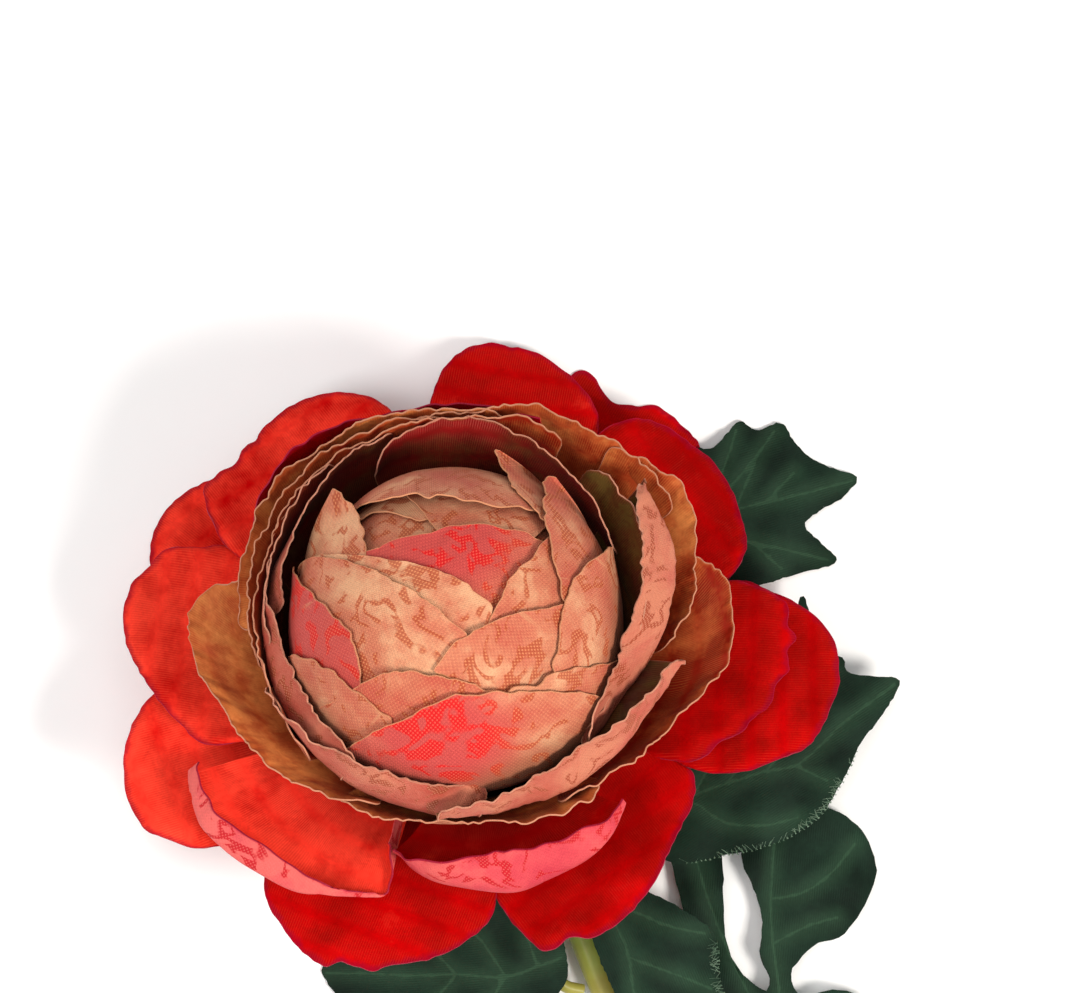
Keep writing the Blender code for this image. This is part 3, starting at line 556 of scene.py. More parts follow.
# %% Guard petals: outlines as bearing and distance, and how each is pressed
UPPER_LINE = [(7, 0.9), (20, 2.6), (36, 5.0)]  # distance from the axis and height along it
LOWER_LINE = [(7, 0.0), (20, 0.2), (36, 1.0)]
RESTING_LINE = [(7, 0.0), (20, -0.4), (34, -2.6)]
GUARDS = [
    # middle bearing, reach, height at the reach, line, dish, dye, outline; the dye also paints light, pale
    # coral on the left-hand petals as if lit and deep red on the right-hand ones as if in shade
    (59, 56, None, RESTING_LINE, 110, 0.3,
     [(75, 48), (72.6, 53.6), (70.7, 55.7), (68.2, 55.2), (63.9, 53.2), (60.1, 53.9), (56.2, 55.8),
      (52, 55.9), (45.9, 54.4), (40, 50), (36, 44)]),
    (0, 59, 3.5, LOWER_LINE, 110, 0.2,
     [(24, 40), (20.4, 44.8), (18.4, 47.8), (15.3, 50.5), (12.7, 53.6), (9.4, 56.4), (5.4, 58.5),
      (2.3, 59.2), (358.2, 59.1), (353.7, 57.9), (349.8, 56.7), (346.3, 54.3), (343, 50.4),
      (340.6, 47.5), (337.7, 43), (336.5, 38)]),
    (306, 47, 4.5, LOWER_LINE, 110, 0.12,
     [(338, 34), (336.2, 37.6), (335.3, 39.5), (330.9, 41), (324.4, 42), (316.9, 43.2), (308.7, 45.7),
      (301.3, 47), (294.4, 47.5), (290.7, 46.1), (285.5, 47), (283.2, 45), (279, 39.4), (276, 34)]),
    (250, 54, 4.5, LOWER_LINE, 110, 0.25,
     [(222, 40), (226.1, 45.8), (229.6, 48.3), (234.7, 50.1), (239.5, 51.7), (244.8, 52.4),
      (247.8, 50.6), (253, 50.6), (255.4, 48.9), (261.1, 47.3), (268.7, 44), (274.8, 40.2), (277.5, 36),
      (278, 32)]),
    (199, 58, 4.0, LOWER_LINE, 110, 0.85,
     [(180, 44), (184.3, 50.6), (190.2, 54.3), (198, 57.2), (206.4, 56.8), (209.2, 55.3), (212.8, 52.4),
      (214.8, 49.8), (217, 46), (219, 40)]),
    (143, 57, None, RESTING_LINE, 110, 0.75,
     [(163, 48), (159.5, 54.5), (157.2, 56.6), (152.4, 58.1), (147.8, 58), (141.5, 56.1), (136.5, 53.3),
      (131, 50), (126, 44)]),
    (105, 50, None, RESTING_LINE, 110, 0.3,
     [(122, 40), (117, 45), (111, 46.6), (103, 47), (97, 46.6), (91, 45), (86, 40)]),
    (80, 57, 4.5, UPPER_LINE, 46, 0.35,
     [(100, 40), (98, 45), (94.9, 50.2), (91.3, 53.6), (86.7, 55.4), (82.5, 55.3), (78, 54.6),
      (72.9, 53), (68.9, 50.8), (64.5, 47.8), (61.5, 44), (60, 39)]),
    (38, 54, 6.0, UPPER_LINE, 46, 0.08,
     [(63, 40), (60.4, 45.1), (56.8, 49.2), (52.7, 50.7), (48, 51.6), (43.6, 52.4), (40, 52.4),
      (33.9, 51.6), (26.4, 49.7), (22.7, 47.8), (18.8, 43.9), (17, 39)]),
    (357, 53, 7.0, UPPER_LINE, 46, 0.15,
     [(20, 39), (18.4, 44), (16.3, 46.9), (12.5, 50.5), (10.4, 51.9), (7.5, 51.4), (4.9, 52.4),
      (2.7, 50.9), (359.6, 50.9), (356.8, 48.9), (352.9, 48.7), (349.4, 45.9), (346.3, 44.6),
      (343.1, 42), (339.2, 40.4), (336.1, 38.5), (334, 34)]),
    (172, 57, 6.5, UPPER_LINE, 46, 0.85,
     [(151, 38), (153.1, 44.1), (155.4, 46.7), (158.3, 51.7), (161.5, 53.3), (165.8, 55.4),
      (171.6, 55.3), (175.6, 54.7), (178.7, 53.2), (184.2, 50.2), (190.4, 47.2), (197.7, 43), (200, 37)]),
    (126, 54, 5.0, UPPER_LINE, 46, 0.7,
     [(155, 37), (153.3, 43.3), (150, 47.4), (145.6, 51.3), (141.5, 51.6), (138.1, 50.9), (134.2, 51.9),
      (131.9, 51.6), (128.5, 52.8), (122.5, 52.9), (116.4, 51.6), (112.5, 49.9), (108.9, 47.4),
      (105.7, 43.5), (103, 38)]),
]
print(len(GUARDS), "outlines")

# %% From an outline to a grid of places
ROWS = 26  # from root to edge
COLUMNS = 120  # from side to side
ROOT_REACH = 8.0  # how far out the petals leave the disc
ROOT_HALF = 30.0  # half of the arc that a root takes, in degrees
NICKED = 0.35  # how deep the cut edge is nicked


def above_table(points, clear=0.6 * CLOTH):
    """The same points, or straight above the table where they would be under it."""
    return np.concatenate([points[..., :2], np.maximum(points[..., 2:], clear)], axis=-1)


def table_height(bearing, r):
    """Height on the bloom's axis at which a place on a bearing is on the table."""
    return (r * math.sin(math.radians(bearing)) * math.sin(TILT) - BLOOM_AT[2]) / math.cos(TILT)


def fan(outline, middle, seed):
    """Places from a narrow root arc to a nicked outline, with the distance from its edge."""
    flat = np.array([(r * math.cos(math.radians(b)), r * math.sin(math.radians(b))) for b, r in outline])
    rim, along = evenly(flat, COLUMNS)
    nick = NICKED * (0.5 * nicks(along, 1.1, seed) + crimp(along, 6.0, seed + 1))
    rim = rim + unit(rim) * nick[:, None]
    bearings = np.degrees(np.unwrap(np.arctan2(flat[[0, -1], 1], flat[[0, -1], 0])))
    half = ROOT_HALF * np.sign(bearings[1] - bearings[0])
    turn = np.radians(middle + np.linspace(-half, half, COLUMNS))
    root = ROOT_REACH * np.stack([np.cos(turn), np.sin(turn)], axis=-1)
    t = crowded(ROWS, 1.5)
    places = root[None] + (rim - root)[None] * t[:, None, None]
    edge = np.linalg.norm(rim - root, axis=1)[None] * (1 - t)[:, None]
    return places, edge, t, along


print("the table is", round(table_height(90, 50.0), 1), "mm up the axis at the far side")

# %% Pressing the guard petals
LAID = 9  # millimetres at the end of a resting petal that lie on the table
ROLL = 0.9  # how far the margin is rolled down
ROLL_WIDTH = 1.6

guard_sheets = []
for k, (middle, reach, height, line, dish, dye, outline) in enumerate(GUARDS):
    seed = 10 * k
    flip = (outline[-1][0] - outline[0][0] + 180) % 360 - 180 < 0
    places, edge, t, along = fan(outline[::-1] if flip else outline, middle, seed)
    turn = math.radians(middle)
    out = places @ np.array([math.cos(turn), math.sin(turn)])
    side = places @ np.array([-math.sin(turn), math.cos(turn)])
    ends = [(reach, height)]
    if height is None:
        ends = [(r, table_height(middle, r)) for r in (reach - LAID, reach)]
    path = through([p for p in line if p[0] < reach - 8] + ends, np.linspace(0, 1, 80))
    w = np.interp(out, path[:, 0], path[:, 1]) + side**2 / (2 * dish)
    w = w + ruffle(edge, along, 0.8, 5.0, 7.0, seed + 2)
    w = w + ruffle(edge, along, 0.3, 1.8, 2.4, seed + 3)
    w = w + 0.5 * lumps(out, side, 15.0, seed + 4) * swell(edge / 4) * swell(t / 0.4)[:, None]
    w = w - ROLL * np.exp(-((edge / ROLL_WIDTH) ** 2))
    points = above_table(lean(np.concatenate([places, w[..., None]], axis=-1)))
    guard_sheets.append(sheet(points, np.stack([side, out], axis=-1), edge, t[:, None], dye))
print(len(guard_sheets), "wide petals")

# %% [markdown]
# Three more guard petals stand up. At the near side two margins turn upward, so that their printed
# backs show below the rim, and at the far side one stands close behind the bowl. They are lofted:
# every column runs through the whorl's line, then a fold, then the rim.

# %% The petals with turned-up margins
FOLDED = [
    # dye, belly as distance and height, fold as bearing, distance and height, rim as the same; the near left
    # petal's palest dye is partly a painted highlight
    (0.95, (24.0, 3.4), [(202.3, 45.5, 7.5), (206.0, 46.9, 8), (210.4, 47.7, 8), (214.5, 47.7, 8),
     (221.5, 47.0, 8), (227.9, 45.8, 8), (234.5, 44.3, 8), (239.0, 42.4, 9), (243.2, 40.9, 9.4),
     (248.6, 39.2, 9.2), (251.4, 37.8, 8.6), (250.4, 34.2, 8), (247.2, 31.2, 8)],
     [(201.3, 44.9, 9), (203.2, 45.9, 10.5), (209.4, 46.2, 11.5), (213.7, 46.2, 12), (219.8, 44.5, 12),
      (225.0, 43.3, 12), (230.9, 43.0, 11.5), (237.3, 42.5, 11), (243.1, 41.5, 10.5), (248.9, 40.1, 10),
      (252.3, 39.0, 9.5), (250.8, 34.8, 9.5), (247.6, 31.8, 9.5)]),
    (0.45, (24.0, 3.4), [(250, 32, 7.5), (255, 33.6, 8), (260, 34.6, 8), (266.5, 35.9, 8),
     (272.9, 36.7, 8), (281.6, 37.4, 8), (289.3, 37.3, 8), (297.6, 36.6, 8.4), (305, 36.2, 10),
     (311, 35.4, 11), (316, 33.6, 11)],
     [(250, 33, 12), (255, 34.4, 15), (260, 34.3, 16), (267, 33.8, 16.2), (273, 33.0, 16.4),
      (280, 32.7, 16.4), (289.5, 33.5, 16), (297, 33.8, 16), (303, 33.8, 15.4), (310, 34.6, 14),
      (316.5, 33.6, 12.6)]),
    (0.05, (25.0, 9.0), [(68, 33.8, 18.5), (90, 34.0, 18.5), (112, 34.2, 18.5), (134, 34.4, 18.5),
     (158, 34.4, 18.0)],
     [(70.6, 34.6, 32), (79.8, 34.3, 33), (85.8, 34.5, 33), (92.7, 34.7, 33), (98.8, 34.9, 33),
      (104.3, 34.8, 33), (110.6, 35.0, 33), (117.9, 36.2, 33), (125.2, 37.3, 33), (134.9, 38.3, 33),
      (140.4, 37.9, 32), (146.5, 37.7, 30), (150.1, 37.4, 28), (156.0, 36.2, 26)]),
]
LOFT_STEPS = 300  # places on each line of a loft before it is spaced out evenly


def loft(lines, columns, rows):
    """A grid through control curves from the root to the rim, evenly spaced along the rim."""
    shares = np.linspace(0, 1, LOFT_STEPS)
    gone = travelled(through(lines[-1], shares))
    along = np.linspace(0, gone[-1], columns)
    at = np.interp(along, gone, shares)
    control = np.array([through(line, at) for line in lines])
    t = crowded(rows, 1.5)
    return through(control, t), t, along


for k, (dye, (belly_r, belly_w), fold, rim) in enumerate(FOLDED):
    fold, rim = np.array(fold), np.array(rim)
    middle = 0.5 * (rim[0, 0] + rim[-1, 0])
    root = round_axis(middle + 0.7 * (rim[:, 0] - middle), 9.0, 1.2)
    belly = round_axis(middle + 0.85 * (rim[:, 0] - middle), belly_r, belly_w)
    points, _, along = loft([root, belly, round_axis(*fold.T), round_axis(*rim.T)], COLUMNS, 30)
    up = travelled(points)
    edge = up[-1:] - up
    across = along[None] + 0 * up
    moved = ruffle(edge, along, 0.4, 2.0, 2.6, 300 + k) + ruffle(edge, along, 0.5, 5.0, 8.0, 304 + k)
    moved = moved + 0.5 * lumps(up, across, 14.0, 310 + k) * swell(edge / 4)
    points = above_table(lean(push(points, moved)))
    guard_sheets.append(sheet(points, np.stack([across, up], axis=-1), edge, up / up[-1:], dye))
print(len(FOLDED), "petals that stand up")

# %% The disc under the guard petals
def turned(profile, sides=64):
    """A surface turned round the bloom's axis from a line of distances and heights."""
    bearings = np.linspace(0, 360, sides + 1)
    return np.array([round_axis(bearings, r + 0 * bearings, w) for r, w in profile])


disc = lean(turned([(0.5, -0.4), (9.0, -0.4), (13.5, 0.2), (13.0, 1.0), (0.5, 1.4)]))
guard_sheets.append(sheet(disc, disc[..., :2], 9.0, 0.5, 0.2))
guard = sew("guard_petals_cloth", guard_sheets, pink_back, red_satin)
stand_for(guard, "guard_petals")

# %% [markdown]
# ## Cup petals
# Tan petals stand round the heart as a bowl, in several whorls pressed against each other. Their
# rims are cut ragged and ruffled. Each rim was read as bearing, distance and height, and the sheet
# is lofted from the foot of the bowl up to it. The ruffle pushes the sheet along its own normals,
# most at the rim and less below it.

# %% Standing petals
BALL_AT = 28.0  # height of the heart's middle on the bloom's axis
BALL_RADIUS = 23.0
BALL_HALF_HEIGHT = 22.0
BALL_SHIFT = -1.5  # the heart sits a little to the left
STAND_COLUMNS = 170
STAND_ROWS = 22
CORNER = 3.0  # radius of the corners at both ends of a rim


def off_ball(climb, offset):
    """Distance and height of a place outside the heart, 0 under it and 90 at its waist."""
    turn = math.radians(climb)
    return (BALL_RADIUS + offset) * math.sin(turn), BALL_AT - (BALL_HALF_HEIGHT + offset) * math.cos(turn)


def standing(rim, foot, dye, seed, ruffled=0.5, nicked=0.35, pitch=3.4, shift=0.0, belly=None, patch=None):
    """A petal lofted from its foot on the bowl up to a ragged rim."""
    rim = np.array(rim, float)
    middle = 0.5 * (rim[0, 0] + rim[-1, 0])
    curves = []
    for j, (climb, offset) in enumerate(foot):
        share = 0.85 + 0.15 * j / len(foot)
        r, w = off_ball(climb, offset)
        curves.append(round_axis(middle + share * (rim[:, 0] - middle), r, w) + np.array([shift, 0, 0]))
    if belly:
        curves.append(round_axis(*np.array(belly, float).T))
    curves.append(round_axis(*rim.T))
    points, t, along = loft(curves, STAND_COLUMNS, STAND_ROWS)
    up = travelled(points)
    ends = np.minimum(along, along[-1] - along)
    ragged = 0.8 * nicks(along, 0.8, seed) + 0.8 * nicks(along, 2.3, seed + 1)
    ragged = ragged + 0.6 * crimp(along, 5.0, seed + 5)
    cut = nicked * ragged - CORNER * (1 - np.sqrt(1 - (1 - np.clip(ends / CORNER, 0, 1)) ** 2))
    direction = unit(points[-1] - points[-3])
    points = points + (swell((t - 0.6) / 0.4)[:, None] * cut[None])[..., None] * direction[None]
    from_rim = up[-1:] - up
    across = along[None] + 0 * up
    frill = 0.55 * np.exp(-from_rim / 1.2) * nicks(along, 0.9, seed + 2)[None]
    frill = frill + ruffle(from_rim, along, 1.0, 4.0, pitch, seed + 4)
    points = push(points, ruffled * frill + 0.35 * lumps(up, across, 13.0, seed + 3) * t[:, None])
    red = 0.0
    if patch:
        start, stop, depth = patch
        share = along / along[-1]
        red = (swell((share - start) / 0.1) * swell((stop - share) / 0.1))[None]
        red = red * np.exp(-((from_rim / depth) ** 2))
    edge = np.minimum(from_rim, ends[None] + 0.02)
    cloth = np.stack([across - along[-1] / 2, up], axis=-1)
    return sheet(above_table(lean(points)), cloth, edge, up / up[-1:], dye, red)


print("the bowl's waist is", off_ball(90, 7.0), "from the axis and up it")

# %% Rims of the cup petals
CUP_SEED = 400
CUP_FOOT_HIGH = [(12, 3.2), (30, 4.0), (56, 6.6), (80, 9.6)]  # climb on the heart, how far off it
CUP_FOOT_INNER = [(12, 2.9), (32, 3.6), (58, 5.6), (82, 7.6)]
CUP_FOOT_NEAR = [(12, 3.2), (30, 4.0), (52, 5.4), (72, 6.6)]
CUP_FOOT_LOW = [(12, 3.2), (30, 4.0), (50, 5.2)]
CUP_RIMS = [
    # dye, foot, rim from the clockwise side, belly; the dye also paints light, paler on the left-hand petal
    # and deepest on the right-hand one, in painted shade
    (0.75, CUP_FOOT_LOW, [(165, 35, 25.0), (167.5, 40, 21.2), (171.0, 42.7, 20.0), (176.1, 43.2, 20),
     (183.6, 42.1, 20.5), (189, 40.4, 22), (196.5, 39.0, 24), (205.6, 38.0, 25.5), (211.1, 37.1, 26),
     (218.3, 36.0, 26), (223.2, 34.6, 26.2), (227.7, 33.9, 26.4), (232.9, 33.0, 26.6),
     (238.5, 31.4, 26.8), (245, 30.6, 26.8)],
     [(168, 31.8, 18.4), (178, 33.0, 18), (190, 32.6, 18.4), (204, 31.4, 19), (216, 30.4, 19),
      (228, 29.2, 19), (236, 28.4, 19), (243, 27.8, 19)]),
    (0.66, CUP_FOOT_NEAR, [(233, 33.0, 24.6), (239, 32.4, 26.2), (244.8, 32.1, 27), (249.4, 31.7, 27),
     (255.5, 30.9, 27), (261.2, 30.7, 27), (265.2, 30.4, 27), (271.7, 30.7, 27), (276.5, 30.7, 27),
     (281.4, 30.9, 27), (288.4, 31.7, 27), (292.3, 32.0, 27), (296.9, 32.4, 27), (301.6, 32.2, 27),
     (306.1, 32.2, 26.6), (313, 31.4, 25.4)], None),
    (0.05, CUP_FOOT_LOW, [(298, 30.8, 26), (304, 31.0, 26), (313.3, 31.6, 25), (322.8, 32.7, 24),
     (331.8, 33.6, 23), (340.4, 35.6, 22), (350.9, 39.2, 21), (355.3, 40.6, 21), (360.8, 41.4, 21),
     (367.2, 41.8, 21), (374.5, 41.3, 22), (378, 39.5, 23), (381, 37, 25)],
     [(300, 27.6, 19), (312, 28.4, 19), (325, 29.6, 18.6), (338, 31.2, 18), (350, 32.6, 17.6),
      (360, 33.6, 17.4), (370, 33.6, 18), (379, 32.4, 19)]),
    (0.45, CUP_FOOT_NEAR, [(355, 31.0, 24.5), (358.5, 32.2, 25.6), (362, 33.2, 26.4), (367, 35.2, 26),
     (377.6, 37.2, 27), (384, 38.8, 28), (390.3, 40.2, 29), (395, 39.9, 30), (400, 38.6, 31),
     (406, 37.4, 32), (412, 36.6, 32.5)], None),
    (0.4, CUP_FOOT_HIGH, [(30, 38.2, 30), (38, 37.6, 31), (45, 37.2, 32), (52, 36.4, 33),
     (58, 35.6, 34), (65, 35.2, 35), (73, 35.2, 35), (82, 33.9, 35), (91, 32.8, 35), (98, 32.6, 35),
     (106, 32.6, 34.6)], None),
    (0.62, CUP_FOOT_HIGH, [(76, 33.0, 34.2), (84, 33.0, 34.8), (94.5, 33.2, 35), (105, 33.9, 35),
     (115.9, 34.9, 35), (123.9, 35.0, 35), (130, 35.3, 34.5), (136.4, 35.9, 34), (144.4, 36.7, 33),
     (150.3, 36.7, 31), (157.2, 36.6, 28), (164, 36.2, 26), (172, 35.6, 24), (180, 35.0, 23)], None),
    (0.3, CUP_FOOT_INNER, [(96, 32.2, 35.4), (108, 32.8, 35.6), (120, 33.2, 35.6), (132, 33.6, 35),
     (144, 34.0, 34), (156, 34.2, 32.4), (168, 33.8, 30.6), (180, 33.0, 30), (192, 32.4, 30)], None),
    (0.1, CUP_FOOT_INNER, [(62, 33.0, 34.6), (74, 32.4, 35.4), (86, 31.8, 35.8), (98, 31.4, 36),
     (110, 31.6, 36), (122, 31.8, 35.8), (134, 32.2, 35.4), (146, 32.4, 34.6), (158, 32.2, 33)], None),
    (0.2, CUP_FOOT_INNER, [(140, 31.6, 34), (152, 32.0, 33), (164, 32.4, 32), (176, 32.2, 31.6),
     (188, 31.6, 31.6), (200, 31.2, 31.6), (212, 31.0, 31.4), (222, 31.2, 31)], None),
]
cup_sheets = [
    standing(rim, foot, dye, CUP_SEED + 10 * k, belly=belly)
    for k, (dye, foot, rim, belly) in enumerate(CUP_RIMS)
]
cup = sew("cup_petals_cloth", cup_sheets, peach_back, tan_satin)
stand_for(cup, "cup_petals")

# %% [markdown]
# ## Collar petals
# Inside the tan bowl stands a paler one, made the same way and shifted with the heart. Its outer
# petals curl in over the heart, so that their printed backs show from above as a ruffled band,
# while the far ones show their dyed face, dark partly from the dye and partly from painted shade.
# The foot of each follows the heart closely.

# %% Collar petals
COLLAR_SEED = 800
COLLAR_PITCH = 3.6
COLLAR_UPRIGHT = [(14, 1.6), (40, 2.4), (66, 3.4), (88, 4.2)]
COLLAR_SNUG = [(14, 1.8), (40, 3.0), (66, 4.6), (90, 6.0)]
COLLARS = [
    # dye, foot, ruffle, rim from the clockwise side, belly, red print as start, stop and depth
    (0.1, COLLAR_UPRIGHT, 0.4, [(24, 25.4, 33), (36, 26.2, 34), (47, 27.2, 34.8), (57, 28.0, 35.4),
     (70, 29.4, 36), (85, 31.0, 36.2), (94, 31.0, 36.2), (102.5, 30.8, 36.2), (111.8, 30.0, 36),
     (119, 28.6, 35.2)],
     None, (0.5, 1.2, 3.2)),
    (0.6, COLLAR_UPRIGHT, 0.4, [(-46, 25.0, 32), (-34, 25.2, 33.4), (-20, 25.4, 34.4), (-8, 26.2, 35),
     (4, 27.2, 35.2), (16, 28.8, 35.4), (28, 30.2, 35.4), (40, 31.2, 35), (52, 31.4, 34)],
     None, None),
    (0.85, COLLAR_UPRIGHT, 0.7, [(-46, 27.0, 35.4), (-38.4, 25.1, 36.5), (-31.9, 24.1, 36.8),
     (-24.2, 24.1, 37), (-15.2, 24.5, 37), (-9.6, 24.6, 37), (-2.7, 25.5, 37), (7.4, 26.8, 37),
     (17.6, 28.1, 37), (25, 29.6, 37), (33, 31.8, 36.6), (37.5, 33.0, 35.4)],
     [(-45.2, 26.6, 31), (-39.3, 25.3, 30), (-32, 25.5, 30), (-24, 26.4, 30), (-14.1, 28.3, 30),
      (-4.1, 30.0, 30), (4, 31.3, 30), (12, 32.5, 30), (20, 33.8, 30.4), (28, 34.4, 31), (34, 34.8, 32),
      (38.5, 34.4, 32.8)], None),
    (0.6, COLLAR_UPRIGHT, 1.1, [(262, 30.4, 33.6), (265.8, 29.6, 34.6), (272.0, 29.4, 35),
     (279.7, 28.6, 35), (290.0, 27.8, 35), (300.4, 27.3, 35), (310.1, 27.4, 35), (318, 27.8, 35),
     (324.2, 28.2, 34.6), (331.0, 29.4, 34.4), (338.2, 30.8, 33.6), (346, 31.6, 32.4), (351, 32.8, 30.8)],
     [(262.5, 30.2, 29.4), (268.3, 29.8, 28), (276, 29.2, 27.4), (283.6, 29.0, 27), (295.3, 29.4, 27),
      (307.1, 29.9, 27), (321.1, 30.2, 27), (329, 30.6, 27), (337.3, 31.3, 27.4), (344, 32.0, 28),
      (350.9, 32.9, 29)], None),
    (0.45, COLLAR_SNUG, 0.8, [(198, 32.4, 32), (203, 31.8, 33.4), (208, 31.2, 34), (214, 30.2, 35),
     (221.7, 29.8, 35), (228.6, 28.9, 36), (236.7, 27.9, 36.6), (250.3, 27.1, 36.2), (263, 26.6, 35.2),
     (272, 26.0, 33.6), (280, 25.4, 31.6)],
     None, None),
    (0.35, COLLAR_SNUG, 0.8, [(160, 31.4, 33), (166, 31.2, 34), (172, 30.6, 34.4), (177, 29.6, 34.6),
     (186.3, 28.2, 34.8), (198.4, 27.4, 35), (204, 27.2, 35.2), (212.6, 27.2, 36), (220.5, 27.2, 36),
     (228.8, 27.2, 36.6), (236, 27.4, 36)],
     None, None),
    (0.25, COLLAR_SNUG, 0.6, [(110, 31.4, 36), (121, 31.0, 36.6), (132, 30.3, 37), (142.5, 29.4, 37),
     (151.3, 28.9, 37), (161.1, 28.4, 36.6), (170, 28.2, 35.4), (178, 28.0, 34)],
     None, None),
    (0.2, COLLAR_SNUG, 0.5, [(128, 31.8, 35.6), (138, 31.8, 35.8), (148, 31.4, 36), (158, 30.9, 35.6),
     (168, 30.6, 34.6), (178, 30.2, 33.6), (188, 29.8, 33)],
     None, None),
]
collar_sheets = []
for k, (dye, foot, rough, rim, belly, patch) in enumerate(COLLARS):
    collar_sheets.append(standing(
        rim, foot, dye, COLLAR_SEED + 10 * k, ruffled=0.6 * rough, nicked=0.25 + 0.35 * rough,
        pitch=COLLAR_PITCH, shift=BALL_SHIFT, belly=belly, patch=patch))
collar = sew("collar_petals_cloth", collar_sheets, dusty_back, olive_satin)
stand_for(collar, "collar_petals")

# %% [markdown]
# ## Heart petals
# The heart is a ball of padding with petals glued over it like scales, each tip lapping over the
# petals across from it. A petal here starts below the ball's waist and follows the ball to its
# free edge, which was read as bearings and angles from the ball's top. Each layer lies a little
# higher than the ones it laps over, and every free edge stands off enough to cast a thin shadow.

# %% Edges of the heart petals
HEART = [
    # name, rise, dye, root bearing, half of the root, edge as bearing, angle from the top and how
    # far a place stands off where it does
    ("far_under_left", 0.2, 0.9, 122, 28, [(152, 72), (146, 63), (138, 57), (131, 53), (126, 46),
     (121, 38), (113, 31), (100, 32), (94, 50), (92, 72)]),
    ("far_under", 0.6, 0.62, 84, 34, [(122, 74), (116, 56), (112, 43), (111, 37), (108, 30), (104, 22),
     (60, 10), (30, 20), (38, 44), (46, 70)]),
    ("red_patch", 1.0, 0.2, 236, 44, [(162, 84), (160, 60), (156, 42), (150, 33), (145, 31), (137, 28),
     (125, 24), (110, 22), (94, 23), (74, 25), (62, 28), (52, 30), (45, 34), (37, 38), (20, 46),
     (346, 60), (326, 84)]),
    ("left_point", 1.1, 0.85, 176, 20, [(158, 92), (155, 78, 0.2), (151, 74, 0.8), (146, 71, 1.6),
     (141, 68, 2.6), (137, 67, 3.6), (134.5, 65, 4.4), (134.8, 60, 3.4), (135.5, 56, 2.0),
     (136.5, 53, 1.2), (139, 48, 0.5), (145, 42), (155, 36), (172, 34), (196, 60)]),
    ("arch", 1.4, 0.45, 94, 46, [(140, 88), (138, 74), (135, 62), (133, 57, 0.3), (130, 52, 0.6),
     (125, 46, 1.0), (120, 42, 1.2), (113, 39, 1.3), (109, 38.5, 1.4), (104, 35, 1.2), (98, 35.6, 1.0),
     (88, 34, 1.0), (79, 34, 0.9), (71, 34, 0.7), (62, 37, 0.5), (55, 42, 0.3), (50, 47), (44, 60),
     (44, 88)]),
    ("yellow", 1.5, 0.95, 196, 34, [(160, 84), (158, 67), (158, 52), (157, 36), (156, 29), (154, 22),
     (149, 15), (141, 9), (100, 3), (7, 4), (341, 9), (334, 13), (328, 16), (314, 19), (290, 22),
     (240, 40), (226, 80)]),
    ("right_inner", 1.7, 0.45, 6, 28, [(34, 70), (33, 48), (32, 41), (25, 33), (19, 27), (12, 22),
     (0, 19), (342, 17), (326, 17), (314, 19), (302, 26), (318, 50), (336, 84)]),
    ("beige", 2.0, 0.62, 188, 28, [(162, 92), (161, 80, 0.4), (159, 75, 0.2), (159, 66), (160, 55),
     (161, 46), (162, 40), (164, 34), (166, 29), (172, 22), (181, 17), (198, 12), (225, 10), (254, 11),
     (274, 14), (285, 19), (280, 30), (250, 46), (220, 84)]),
    ("far_jagged", 1.9, 0.5, 22, 20, [(34, 52), (42, 46), (47, 47), (52, 48), (56, 49), (61, 51),
     (65.5, 55, 0.1), (70, 61, 0.6), (74, 66, 1.6), (76.6, 68.5, 2.8), (75, 70, 3.0)]),
    ("right_upper", 2.3, 0.25, 6, 20, [(352, 60), (354, 46), (357, 40), (6, 39), (12, 38), (22, 39),
     (30, 41), (38, 43, 0.2), (46, 49, 0.4), (52, 58, 0.6), (56, 66, 1.0), (57.4, 71, 1.8),
     (54.5, 73.5, 2.2)]),
    ("pink_tongue", 2.3, 0.5, 326, 34, [(4, 70), (354, 40), (349, 34), (341, 27), (333, 22), (321, 20),
     (299, 18), (279, 19), (263, 25), (257, 30), (272, 33), (284, 42), (286, 84)]),
    ("left_red", 2.4, 0.0, 190, 30, [(163, 98), (161, 84, 0.6), (162, 78, 0.8), (165, 73, 0.6),
     (174, 59), (183, 49), (195, 42), (202, 39), (208, 40), (215, 42), (224, 47), (228, 66), (228, 84)]),
    ("right_gold", 2.7, 0.5, 358, 26, [(316, 64), (322, 47), (328, 44), (333, 43), (341, 40), (348, 40),
     (359, 41), (8, 45), (15, 52, 0.3), (20, 62, 0.8), (24, 72, 1.2), (25, 82, 0.8), (22, 94)]),
    ("near_peach", 2.7, 0.12, 254, 34, [(216, 72), (222, 56), (224, 50), (225, 46), (228, 42),
     (233, 37), (243, 33), (257, 32), (272, 32), (287, 37), (296, 41), (306, 60), (300, 84)]),
    ("left_pale", 2.9, 0.4, 218, 26, [(190, 96), (193, 80), (195, 72, 0.2), (199, 65, 0.3), (202, 60),
     (207, 57), (210, 54), (217, 52), (224, 51), (230, 50), (238, 51), (245, 53), (250, 66), (250, 88)]),
    ("near_strip", 3.0, 0.5, 322, 30, [(290, 64), (294, 46), (300, 41), (308, 43), (314, 46), (319, 46),
     (326, 50), (335, 60), (344, 76), (350, 92)]),
    ("near_wide", 3.5, 0.42, 276, 54, [(224, 100), (228, 86), (231, 79), (235, 69), (241, 57),
     (249, 49), (255, 44), (260, 41), (268, 38), (274, 37), (286, 38), (296, 40), (306, 44), (314, 49),
     (319, 55), (324, 60), (328, 68), (331, 80), (331, 98)]),
]
